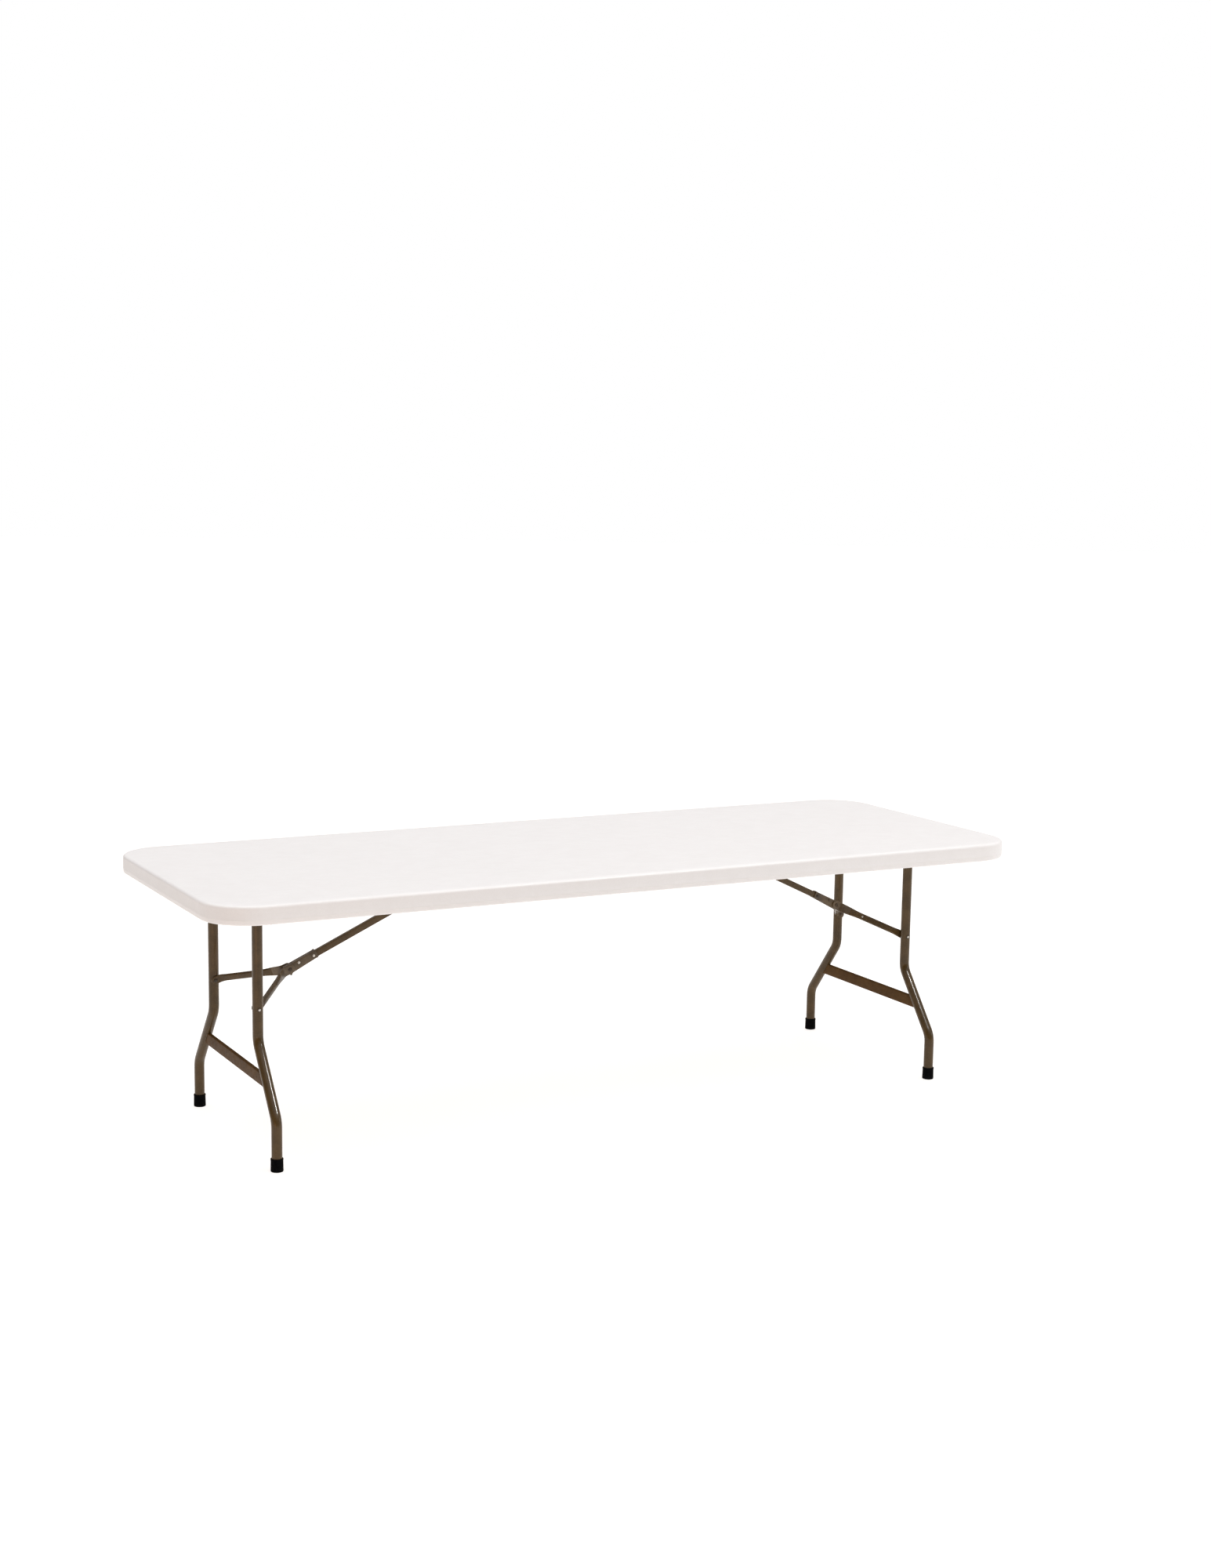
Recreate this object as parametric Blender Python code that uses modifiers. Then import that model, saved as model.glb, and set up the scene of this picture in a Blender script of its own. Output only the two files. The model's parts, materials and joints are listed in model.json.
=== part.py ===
"""Folding banquet table: a moulded plastic top on two wishbone leg frames that fold in under it.

Metres, +Z up. X runs along the table, Y across it with the front at -Y. The origin is on the floor,
under the middle of the top. Each end has a leg frame on an axle, and a folding brace of two links:
an upper bar hinged under the top, and a pair of lower arms that run from the bar to the leg tubes.
The two braces share their arms' design, and the left one's bar is longer than the right one's.
"""

import math

import bmesh
import bpy
from mathutils import Matrix, Vector

# Top
LENGTH = 2.44
WIDTH = 0.914
HEIGHT = 0.725
RIM_DEPTH = 0.050
PANEL_THICKNESS = 0.022
RIM_WIDTH = 0.022
CORNER_RADIUS = 0.130
EDGE_RADIUS = 0.006
SKIN = 0.003
BLOW_HOLE_RADIUS = 0.004

# Steel frame under the top
GAP = 0.0003
RAIL_SIZE = 0.024
RAIL_LENGTH = 2.12
RAIL_Y = 0.250
RAIL_WALL = 0.0015
CROSS_RAIL_WIDTH = 0.025
CROSS_RAIL_SETBACK = 0.032
BRACKET_PLATE = 0.003
BRACKET_LENGTH = 0.060
BRACKET_SIDE_PLAY = 0.003
EAR_RADIUS = 0.0192
BUSH_WALL = 0.0018
BUSH_PLAY = 0.00025
BUSH_PROUD = 0.001
BUSH_FLANGE = 0.0007
BUSH_FLANGE_WIDTH = 0.003
CLEVIS_PLATE = 0.003
CLEVIS_PLAY = 0.0007
CLEVIS_REACH = 0.031
CLEVIS_HEIGHT = 0.021

# Leg frames
LEG_X = 1.020
AXLE_Z = 0.655
AXLE_RADIUS = 0.01425
AXLE_PROUD = 0.0015
PLUG_DEPTH = 0.015
PLUG_RIM = 0.002
PLUG_HEAD_HEIGHT = 0.0025
LEG_RADIUS = 0.014
LEG_WALL = 0.0015
LEG_TOP_Y = 0.181
LEG_FOOT_Y = 0.320
UPPER_KINK_Z = 0.308
LOWER_KINK_Z = 0.131
BEND_RADIUS = 0.045
CROSSBAR_Z = 0.216
CROSSBAR_HEIGHT = 0.034
CROSSBAR_THICKNESS = 0.011
FOOT_CAP_RADIUS = 0.0167
FOOT_CAP_HEIGHT = 0.035
FOOT_CAP_FLOOR = 0.006

# Folding braces: the hinge on the leg, the middle hinge and the hinge under the top.
# A place is (distance from the middle of the table, height), with the legs down.
BRACE_LEG_Z = {"left": 0.395, "right": 0.406}
BRACE_MIDDLE = {"left": (0.8693, 0.4490), "right": (0.8820, 0.4810)}
BRACE_TOP_X = {"left": 0.337, "right": 0.444}
BRACE_TOP_Z = 0.690
BAR_HEIGHT = 0.018
BAR_WIDTH = 0.014
BAR_SETBACK = 0.018
BAR_OVERRUN = 0.0075
ARM_HEIGHT = 0.019
ARM_THICKNESS = 0.011
TAB_THICKNESS = 0.0035
LEG_TAB_HEIGHT = 0.022
HINGE_TAB_HEIGHT = 0.026
LEG_TAB_REACH = 0.016
HINGE_TAB_REACH = 0.018
CHANNEL_WALL = 0.002
CHANNEL_BACK = 0.013
CHANNEL_FRONT = 0.085
CHANNEL_DEPTH = 0.014
CHANNEL_TAPER = 0.005

# Rivets and pins. A head is (radius, height).
PIN_RADIUS = 0.0030
PIN_PLAY = 0.00015
LEG_RIVET_HEAD = (0.0062, 0.0024)
ARM_RIVET_HEAD = (0.0055, 0.0020)
PIN_HEAD_SHARE = 1.9
PIN_HEAD_HEIGHT = 0.0022
CHANNEL_RIVET_RADIUS = 0.0026
# A channel rivet is (name, distance along the bar, height above its middle)
CHANNEL_RIVETS = (("lower", 0.030, 0.004), ("upper", 0.075, 0.0))

RAIL_TOP_Z = HEIGHT - PANEL_THICKNESS - GAP
RAIL_Z = RAIL_TOP_Z - RAIL_SIZE / 2
RAIL_INNER_Y = RAIL_Y - RAIL_SIZE / 2
BRACKET_WEB_TOP = RAIL_Z - RAIL_SIZE / 2 - GAP
BRACKET_WIDTH = RAIL_SIZE + 2 * BRACKET_SIDE_PLAY
BUSH_OUTER = AXLE_RADIUS + BUSH_PLAY + BUSH_WALL
AXLE_END_Y = RAIL_Y + BRACKET_WIDTH / 2 + AXLE_PROUD
CHANNEL_HALF_WIDTH = BAR_WIDTH / 2 + GAP + CHANNEL_WALL
SIDES = {"left": -1, "right": 1}
FACES = {"front": -1, "back": 1}
AXES = {"X": (1, 0, 0), "Y": (0, 1, 0), "Z": (0, 0, 1)}

# How far cutters reach past what they cut
THROUGH = 0.1
CLEAR_BELOW = 0.01

COLOURS = {
    "top_plastic": ((0.86, 0.82, 0.79, 1), 0.55, 0.0),
    "frame_paint": ((0.085, 0.060, 0.036, 1), 0.42, 0.5),
    "rail_paint": ((0.075, 0.055, 0.035, 1), 0.45, 0.5),
    "foot_rubber": ((0.012, 0.012, 0.012, 1), 0.6, 0.0),
    "bush_plastic": ((0.03, 0.03, 0.03, 1), 0.5, 0.0),
    "rivet_steel": ((0.55, 0.53, 0.50, 1), 0.3, 1.0),
}


def new_collection(name):
    found = bpy.data.collections.new(name)
    bpy.context.scene.collection.children.link(found)
    return found


for old in list(bpy.data.objects):
    bpy.data.objects.remove(old, do_unlink=True)
TABLE = new_collection("folding_table")
CUTTERS = new_collection("cutters")


def material(slot):
    found = bpy.data.materials.get(slot)
    if found:
        return found
    colour, roughness, metallic = COLOURS[slot]
    found = bpy.data.materials.new(slot)
    found.use_nodes = True
    shader = found.node_tree.nodes["Principled BSDF"]
    shader.inputs["Base Color"].default_value = colour
    shader.inputs["Roughness"].default_value = roughness
    shader.inputs["Metallic"].default_value = metallic
    found.diffuse_color = colour
    return found


def add_object(name, bm, slot=None):
    """An object from a bmesh, in the table's collection, or among the cutters where it has no slot."""
    bmesh.ops.recalc_face_normals(bm, faces=bm.faces[:])
    mesh = bpy.data.meshes.new(name)
    bm.to_mesh(mesh)
    bm.free()
    obj = bpy.data.objects.new(name, mesh)
    if slot:
        mesh.materials.append(material(slot))
        mesh.shade_smooth()
        mesh.set_sharp_from_angle(angle=math.radians(35))
        TABLE.objects.link(obj)
    else:
        CUTTERS.objects.link(obj)
        obj.hide_render = True
        obj.display_type = "WIRE"
    return obj


def cut(obj, cutter):
    modifier = obj.modifiers.new(f"cut_{cutter.name}", "BOOLEAN")
    modifier.operation = "DIFFERENCE"
    modifier.object = cutter


# Shapes added to a bmesh


def add_box(bm, size, centre, frame=None):
    place = Matrix.Translation(centre) @ Matrix.Diagonal((*size, 1))
    bmesh.ops.create_cube(bm, size=1, matrix=(frame or Matrix()) @ place)


def add_cylinder(bm, radius, length, centre, axis="Z", segments=16, frame=None):
    turn = Vector((0, 0, 1)).rotation_difference(Vector(AXES[axis])).to_matrix().to_4x4()
    place = (frame or Matrix()) @ Matrix.Translation(centre) @ turn
    bmesh.ops.create_cone(
        bm,
        cap_ends=True,
        segments=segments,
        radius1=radius,
        radius2=radius,
        depth=length,
        matrix=place,
    )


def box(name, slot, size, centre, frame=None):
    bm = bmesh.new()
    add_box(bm, size, centre, frame)
    return add_object(name, bm, slot)


def cylinder(name, slot, radius, length, centre, axis="Z", segments=16, frame=None):
    bm = bmesh.new()
    add_cylinder(bm, radius, length, centre, axis, segments, frame)
    return add_object(name, bm, slot)


def hollow_box(name, slot, size, centre, axis, wall, frame=None):
    """A box section with both ends open along an axis (0, 1 or 2)."""
    bm = bmesh.new()
    add_box(bm, size, (0, 0, 0))
    ends = [face for face in bm.faces if abs(face.normal[axis]) > 0.9]
    bmesh.ops.delete(bm, geom=ends, context="FACES_ONLY")
    bm.transform((frame or Matrix()) @ Matrix.Translation(centre))
    obj = add_object(name, bm, slot)
    add_wall(obj, wall)
    return obj


def add_wall(obj, thickness):
    modifier = obj.modifiers.new("wall", "SOLIDIFY")
    modifier.thickness = thickness
    modifier.offset = -1
    modifier.use_even_offset = True


def turned(name, slot, profile, centre, axis, segments=16):
    """A solid of revolution. Its profile runs from the axis to the axis, or is a closed loop off the axis."""
    bm = bmesh.new()
    rings = []
    for radius, height in profile:
        if radius == 0:
            rings.append([bm.verts.new((0, 0, height))])
            continue
        angles = [2 * math.pi * step / segments for step in range(segments)]
        spots = [(radius * math.cos(angle), radius * math.sin(angle), height) for angle in angles]
        rings.append([bm.verts.new(spot) for spot in spots])
    pairs = list(zip(rings, rings[1:]))
    if len(rings[0]) > 1:
        pairs.append((rings[-1], rings[0]))
    for low, high in pairs:
        for step in range(segments):
            after = (step + 1) % segments
            corners = [low[step % len(low)], low[after % len(low)]]
            corners += [high[after % len(high)], high[step % len(high)]]
            bm.faces.new(dict.fromkeys(corners))
    turn = Vector((0, 0, 1)).rotation_difference(Vector(axis)).to_matrix().to_4x4()
    bm.transform(Matrix.Translation(centre) @ turn)
    return add_object(name, bm, slot)


def rounded_rectangle(length, width, radius, segments=8):
    points = []
    for quarter, (sx, sy) in enumerate(((1, 1), (-1, 1), (-1, -1), (1, -1))):
        for step in range(segments + 1):
            angle = math.radians(90) * (quarter + step / segments)
            x = sx * (length / 2 - radius) + radius * math.cos(angle)
            y = sy * (width / 2 - radius) + radius * math.sin(angle)
            points.append((x, y, 0))
    return points


def slab(name, slot, length, width, radius, low, high):
    """A flat plate with a rounded rectangular outline, between two heights."""
    curve = bpy.data.curves.new(name + "_outline", "CURVE")
    curve.dimensions = "2D"
    curve.fill_mode = "BOTH"
    curve.extrude = (high - low) / 2
    points = rounded_rectangle(length, width, radius)
    spline = curve.splines.new("POLY")
    spline.points.add(len(points) - 1)
    for point, place in zip(spline.points, points):
        point.co = (*place, 1)
    spline.use_cyclic_u = True
    return solid_from_curve(name, slot, curve, Matrix.Translation((0, 0, (low + high) / 2)))


def solid_from_curve(name, slot, curve, place=None):
    """A mesh object with the evaluated shape of a curve, its caps welded on."""
    source = bpy.data.objects.new(name + "_curve", curve)
    TABLE.objects.link(source)
    source.matrix_world = place or Matrix()
    bpy.context.view_layer.update()
    graph = bpy.context.evaluated_depsgraph_get()
    mesh = bpy.data.meshes.new_from_object(source.evaluated_get(graph))
    bm = bmesh.new()
    bm.from_mesh(mesh)
    bmesh.ops.remove_doubles(bm, verts=bm.verts[:], dist=0.00001)
    bm.transform(source.matrix_world)
    bpy.data.objects.remove(source, do_unlink=True)
    bpy.data.meshes.remove(mesh)
    return add_object(name, bm, slot)


def tube_curve(name, points, radius, caps, resolution=5):
    curve = bpy.data.curves.new(name + "_path", "CURVE")
    curve.dimensions = "3D"
    curve.bevel_depth = radius
    curve.bevel_resolution = resolution
    curve.use_fill_caps = caps
    spline = curve.splines.new("POLY")
    spline.points.add(len(points) - 1)
    for point, place in zip(spline.points, points):
        point.co = (*place, 1)
    return curve


def rounded_path(corners, radius, segments=3):
    """A path through the corners, each inner corner replaced by an arc."""
    path = [corners[0]]
    for before, corner, after in zip(corners, corners[1:], corners[2:]):
        into = (corner - before).normalized()
        out = (after - corner).normalized()
        turn = into.angle(out)
        start = corner - into * radius * math.tan(turn / 2)
        inward = (out - into * into.dot(out)).normalized()
        centre = start + inward * radius
        for step in range(segments + 1):
            angle = turn * step / segments
            path.append(centre + radius * (into * math.sin(angle) - inward * math.cos(angle)))
    path.append(corners[-1])
    return path


# Where the brace's hinges lie


def brace_points(side):
    """The hinge on the leg, the middle hinge and the hinge under the top, as (distance out, height)."""
    leg = Vector((LEG_X, BRACE_LEG_Z[side]))
    top = Vector((BRACE_TOP_X[side], BRACE_TOP_Z))
    return leg, Vector(BRACE_MIDDLE[side]), top


def link_frame(sign, start, end):
    """A frame at the start of a link: X runs along the link, Z is square to it and points up."""
    along = Vector((sign * (end.x - start.x), 0, end.y - start.y)).normalized()
    up = (Vector((0, 0, 1)) - along * along.z).normalized()
    across = up.cross(along)
    frame = Matrix((along, across, up)).transposed().to_4x4()
    frame.translation = (sign * start.x, 0, start.y)
    return frame


def leg_corners(sign, face):
    """The centre line of one leg tube, top to bottom."""
    heights = (AXLE_Z - 0.002, UPPER_KINK_Z, LOWER_KINK_Z, FOOT_CAP_FLOOR + GAP)
    across = (LEG_TOP_Y, LEG_TOP_Y, LEG_FOOT_Y, LEG_FOOT_Y)
    return [Vector((sign * LEG_X, face * y, z)) for y, z in zip(across, heights)]


# The top


def make_tabletop():
    """A blow-moulded panel: two skins over an air space that runs on into the rim, and a recess below."""
    low = HEIGHT - RIM_DEPTH
    ceiling = HEIGHT - PANEL_THICKNESS
    top = slab("tabletop", "top_plastic", LENGTH, WIDTH, CORNER_RADIUS, low, HEIGHT)
    cut(top, inset_slab("tabletop_recess", RIM_WIDTH, low - CLEAR_BELOW, ceiling))
    edge = top.modifiers.new("rounded_edges", "BEVEL")
    edge.width = EDGE_RADIUS
    edge.segments = 3
    edge.limit_method = "ANGLE"
    edge.angle_limit = math.radians(40)
    air_space = inset_slab("tabletop_air_space", SKIN, low + SKIN, HEIGHT - SKIN)
    cut(air_space, inset_slab("tabletop_lower_skin", RIM_WIDTH - SKIN, low - CLEAR_BELOW, ceiling + SKIN))
    cut(top, air_space)
    cut(top, cylinder("blow_hole", None, BLOW_HOLE_RADIUS, PANEL_THICKNESS, (0, 0, ceiling), segments=12))


def inset_slab(name, inset, low, high):
    """A cutter with the top's outline, drawn in on every side."""
    return slab(name, None, LENGTH - 2 * inset, WIDTH - 2 * inset, CORNER_RADIUS - inset, low, high)


# Rivets and pins


def headed_pin(name, slot, place, radius, length, head, axis, segments=12):
    """A pin with a domed head: the head's face is at the place, and the shank runs along the axis."""
    head_radius, head_height = head
    profile = [
        (0, -head_height),
        (0.55 * head_radius, -0.9 * head_height),
        (head_radius, -0.35 * head_height),
        (head_radius, 0),
        (radius, 0),
        (radius, length),
        (0, length),
    ]
    return turned(name, slot, profile, place, axis, segments)


def through_pin(name, place, half_grip, radius=PIN_RADIUS, segments=16):
    """A rivet along Y with a domed head beyond each end of its grip."""
    head = PIN_HEAD_SHARE * radius
    dome = [(0, PIN_HEAD_HEIGHT), (0.6 * head, 0.86 * PIN_HEAD_HEIGHT), (head, 0.23 * PIN_HEAD_HEIGHT)]
    dome += [(head, 0), (radius, 0)]
    profile = [(across, -half_grip - height) for across, height in dome]
    profile += [(across, half_grip + height) for across, height in reversed(dome)]
    return turned(name, "rivet_steel", profile, place, AXES["Y"], segments)


# The steel frame under the top


def make_rails():
    for face, across in FACES.items():
        size = (RAIL_LENGTH, RAIL_SIZE, RAIL_SIZE)
        hollow_box(f"side_rail_{face}", "rail_paint", size, (0, across * RAIL_Y, RAIL_Z), 0, RAIL_WALL)
    for side, sign in SIDES.items():
        size = (CROSS_RAIL_WIDTH, 2 * (RAIL_INNER_Y - GAP), RAIL_SIZE)
        place = (sign * (BRACE_TOP_X[side] - CROSS_RAIL_SETBACK), 0, RAIL_Z)
        hollow_box(f"cross_rail_{side}", "rail_paint", size, place, 1, RAIL_WALL)


def make_axle_brackets(side, sign):
    """A saddle under each side rail, with two ears that carry the axle in a plastic bush."""
    for face, across in FACES.items():
        name = f"{side}_{face}"
        x, y = sign * LEG_X, across * RAIL_Y
        axle = (x, y, AXLE_Z)
        ear_height = BRACKET_WEB_TOP - AXLE_Z
        size = (BRACKET_LENGTH, BRACKET_WIDTH, ear_height)
        bracket = box(f"axle_bracket_{name}", "rail_paint", size, (x, y, AXLE_Z + ear_height / 2))
        union = bracket.modifiers.new("ears", "BOOLEAN")
        union.operation = "UNION"
        union.object = cylinder(f"bracket_lobe_{name}", None, EAR_RADIUS, BRACKET_WIDTH, axle, "Y", 24)
        slot_top = BRACKET_WEB_TOP - BRACKET_PLATE
        slot_size = (BRACKET_LENGTH + CLEAR_BELOW, BRACKET_WIDTH - 2 * BRACKET_PLATE, THROUGH)
        cut(bracket, box(f"bracket_slot_{name}", None, slot_size, (x, y, slot_top - THROUGH / 2)))
        cut(bracket, cylinder(f"bracket_bore_{name}", None, BUSH_OUTER + GAP, THROUGH, axle, "Y", 24))
        inner = AXLE_RADIUS + BUSH_PLAY
        flange = BUSH_OUTER + BUSH_FLANGE_WIDTH
        half = BRACKET_WIDTH / 2 + BUSH_PROUD
        profile = [(inner, -half), (flange, -half), (flange, BUSH_FLANGE - half)]
        profile += [(BUSH_OUTER, BUSH_FLANGE - half), (BUSH_OUTER, half), (inner, half)]
        turned(f"axle_bush_{name}", "bush_plastic", profile, axle, (0, across, 0), 24)


def make_clevis(side, sign):
    """The fork on the cross rail that holds the upper bar's pin. Returns the cutter of the pin's bore."""
    base = BRACE_TOP_X[side] - CROSS_RAIL_SETBACK + CROSS_RAIL_WIDTH / 2 + GAP
    half = BAR_WIDTH / 2 + CLEVIS_PLAY
    size = (CLEVIS_REACH, 2 * (half + CLEVIS_PLATE), CLEVIS_HEIGHT)
    x = sign * (base + CLEVIS_REACH / 2)
    clevis = box(f"brace_clevis_{side}", "rail_paint", size, (x, 0, BRACE_TOP_Z))
    slot_place = (x + sign * CLEVIS_PLATE, 0, BRACE_TOP_Z)
    cut(clevis, box(f"clevis_slot_{side}", None, (CLEVIS_REACH, 2 * half, THROUGH), slot_place))
    pin = (sign * BRACE_TOP_X[side], 0, BRACE_TOP_Z)
    bore = cylinder(f"clevis_bore_{side}", None, PIN_RADIUS + PIN_PLAY, THROUGH, pin, "Y", 16)
    cut(clevis, bore)
    through_pin(f"brace_top_pin_{side}", pin, half + CLEVIS_PLATE + GAP)
    return bore


# The leg frames


def make_leg_frame(side, sign):
    x = sign * LEG_X
    axle_path = [Vector((x, -AXLE_END_Y, AXLE_Z)), Vector((x, AXLE_END_Y, AXLE_Z))]
    axle_curve = tube_curve(f"axle_tube_{side}", axle_path, AXLE_RADIUS, False, 10)
    axle = solid_from_curve(f"axle_tube_{side}", "frame_paint", axle_curve)
    add_wall(axle, LEG_WALL)
    cope = cylinder(f"axle_cope_{side}", None, AXLE_RADIUS + GAP, 1, (x, 0, AXLE_Z), "Y", 24)
    rivet_line = (x, 0, BRACE_LEG_Z[side])
    rivet_holes = cylinder(f"leg_rivet_holes_{side}", None, PIN_RADIUS + GAP, 1, rivet_line, "Y", 12)
    drop = (UPPER_KINK_Z - CROSSBAR_Z) / (UPPER_KINK_Z - LOWER_KINK_Z)
    crossbar_end = LEG_TOP_Y + drop * (LEG_FOOT_Y - LEG_TOP_Y)
    size = (CROSSBAR_THICKNESS, 2 * crossbar_end, CROSSBAR_HEIGHT)
    crossbar = hollow_box(f"crossbar_{side}", "frame_paint", size, (x, 0, CROSSBAR_Z), 1, LEG_WALL)
    for face, across in FACES.items():
        name = f"{side}_{face}"
        path = rounded_path(leg_corners(sign, across), BEND_RADIUS)
        leg = solid_from_curve(f"leg_tube_{name}", "frame_paint", tube_curve("leg", path, LEG_RADIUS, False))
        add_wall(leg, LEG_WALL)
        cut(leg, cope)
        cut(leg, rivet_holes)
        core = tube_curve("core", path, LEG_RADIUS + GAP, True)
        cut(crossbar, solid_from_curve(f"leg_core_{name}", None, core))
        make_foot_cap(f"foot_cap_{name}", (x, across * LEG_FOOT_Y, 0))
        inward = (0, -across, 0)
        seat = (x, across * (LEG_TOP_Y + LEG_RADIUS + GAP), BRACE_LEG_Z[side])
        reach = 2 * LEG_RADIUS + GAP
        headed_pin(f"leg_rivet_{name}", "rivet_steel", seat, PIN_RADIUS, reach, LEG_RIVET_HEAD, inward)
        bore = AXLE_RADIUS - LEG_WALL - GAP
        head = (AXLE_RADIUS + PLUG_RIM, PLUG_HEAD_HEIGHT)
        seat = (x, across * (AXLE_END_Y + GAP), AXLE_Z)
        headed_pin(f"axle_plug_{name}", "bush_plastic", seat, bore, PLUG_DEPTH, head, inward, 24)


def make_foot_cap(name, place):
    """A cup that the foot of the leg tube stands in."""
    inner, outer, top = LEG_RADIUS + GAP, FOOT_CAP_RADIUS, FOOT_CAP_HEIGHT
    profile = [(0, 0), (outer - 0.0015, 0), (outer, 0.0015), (outer, top - 0.001)]
    profile += [(outer - 0.001, top), (inner, top), (inner, FOOT_CAP_FLOOR), (0, FOOT_CAP_FLOOR)]
    turned(name, "foot_rubber", profile, place, AXES["Z"], 20)


# The folding brace


def tip_angles():
    return [math.radians(angle) for angle in (0, 30, 60, 90)]


def make_arm(name, frame, across, length):
    """An oval tube pressed flat at both ends, with one tab along the leg tube and one along the channel.

    In the frame, X runs from the leg rivet to the middle hinge, and Y across the table.
    """
    flat = TAB_THICKNESS / 2
    thinnest = 0.002
    leg_y = LEG_TOP_Y - LEG_RADIUS - GAP - flat
    hinge_y = CHANNEL_HALF_WIDTH + GAP + flat
    leg_half, hinge_half = LEG_TAB_HEIGHT / 2, HINGE_TAB_HEIGHT / 2
    tube_half, tube_depth = ARM_HEIGHT / 2, ARM_THICKNESS / 2
    bend_in = length - HINGE_TAB_REACH
    run = Vector((bend_in - LEG_TAB_REACH, hinge_y - leg_y))
    stations = []
    for angle in reversed(tip_angles()):
        half = max(leg_half * math.cos(angle), thinnest)
        stations.append((-leg_half * math.sin(angle), leg_y, half, flat))
    stations.append((LEG_TAB_REACH - 0.005, leg_y, leg_half, flat))
    for share, half, depth in (
        (0.03, leg_half * 0.98, flat * 1.1),
        (0.13, tube_half, tube_depth),
        (0.72, tube_half, tube_depth),
        (0.82, tube_half * 1.08, tube_depth * 0.8),
        (0.95, hinge_half * 0.93, flat * 1.25),
    ):
        stations.append((LEG_TAB_REACH + share * run.x, leg_y + share * run.y, half, depth))
    stations.append((bend_in + 0.006, hinge_y, hinge_half, flat))
    for angle in tip_angles():
        half = max(hinge_half * math.cos(angle), thinnest)
        stations.append((length + hinge_half * math.sin(angle), hinge_y, half, flat))
    return loft_stations(name, frame, across, stations)


def loft_stations(name, frame, across, stations, segments=12):
    """A loft along a path in the frame's XY plane. A station is (x, y, half height, half thickness)."""
    bm = bmesh.new()
    rings = []
    for place, (x, y, height, depth) in enumerate(stations):
        before = stations[max(place - 1, 0)]
        after = stations[min(place + 1, len(stations) - 1)]
        along = Vector((after[0] - before[0], after[1] - before[1])).normalized()
        side = Vector((-along.y, along.x))
        ring = []
        square = 1.0 if depth > TAB_THICKNESS else 0.45
        for step in range(segments):
            angle = 2 * math.pi * (step + 0.5) / segments
            c, s = math.cos(angle), math.sin(angle)
            swing = math.copysign(abs(c) ** square, c) * depth
            lift = math.copysign(abs(s) ** square, s) * height
            spot = Vector((x + side.x * swing, across * (y + side.y * swing), lift))
            ring.append(bm.verts.new(frame @ spot))
        rings.append(ring)
    for low, high in zip(rings, rings[1:]):
        for step in range(segments):
            after = (step + 1) % segments
            bm.faces.new([low[step], low[after], high[after], high[step]])
    bm.faces.new(rings[0])
    bm.faces.new(rings[-1])
    return add_object(name, bm, "frame_paint")


def make_channel(side, frame):
    """An inverted U that wraps the lower end of the bar. Its walls carry the middle hinge's pin."""
    top = BAR_HEIGHT / 2 + GAP + CHANNEL_WALL
    length = CHANNEL_BACK + CHANNEL_FRONT
    middle = (CHANNEL_FRONT - CHANNEL_BACK) / 2
    size = (length, 2 * CHANNEL_HALF_WIDTH, top + CHANNEL_DEPTH)
    place = (middle, 0, (top - CHANNEL_DEPTH) / 2)
    channel = box(f"hinge_channel_{side}", "frame_paint", size, place, frame)
    size = (length + CLEAR_BELOW, 2 * (CHANNEL_HALF_WIDTH - CHANNEL_WALL), THROUGH)
    place = (middle, 0, top - CHANNEL_WALL - THROUGH / 2)
    cut(channel, box(f"channel_slot_{side}", None, size, place, frame))
    slope = math.atan2(CHANNEL_TAPER, length)
    foot = Matrix.Translation((CHANNEL_FRONT, 0, CHANNEL_TAPER - CHANNEL_DEPTH))
    tilt = frame @ foot @ Matrix.Rotation(-slope, 4, "Y")
    below = (4 * length, 4 * CHANNEL_HALF_WIDTH, THROUGH)
    cut(channel, box(f"channel_taper_{side}", None, below, (0, 0, -THROUGH / 2), tilt))
    return channel


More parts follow.
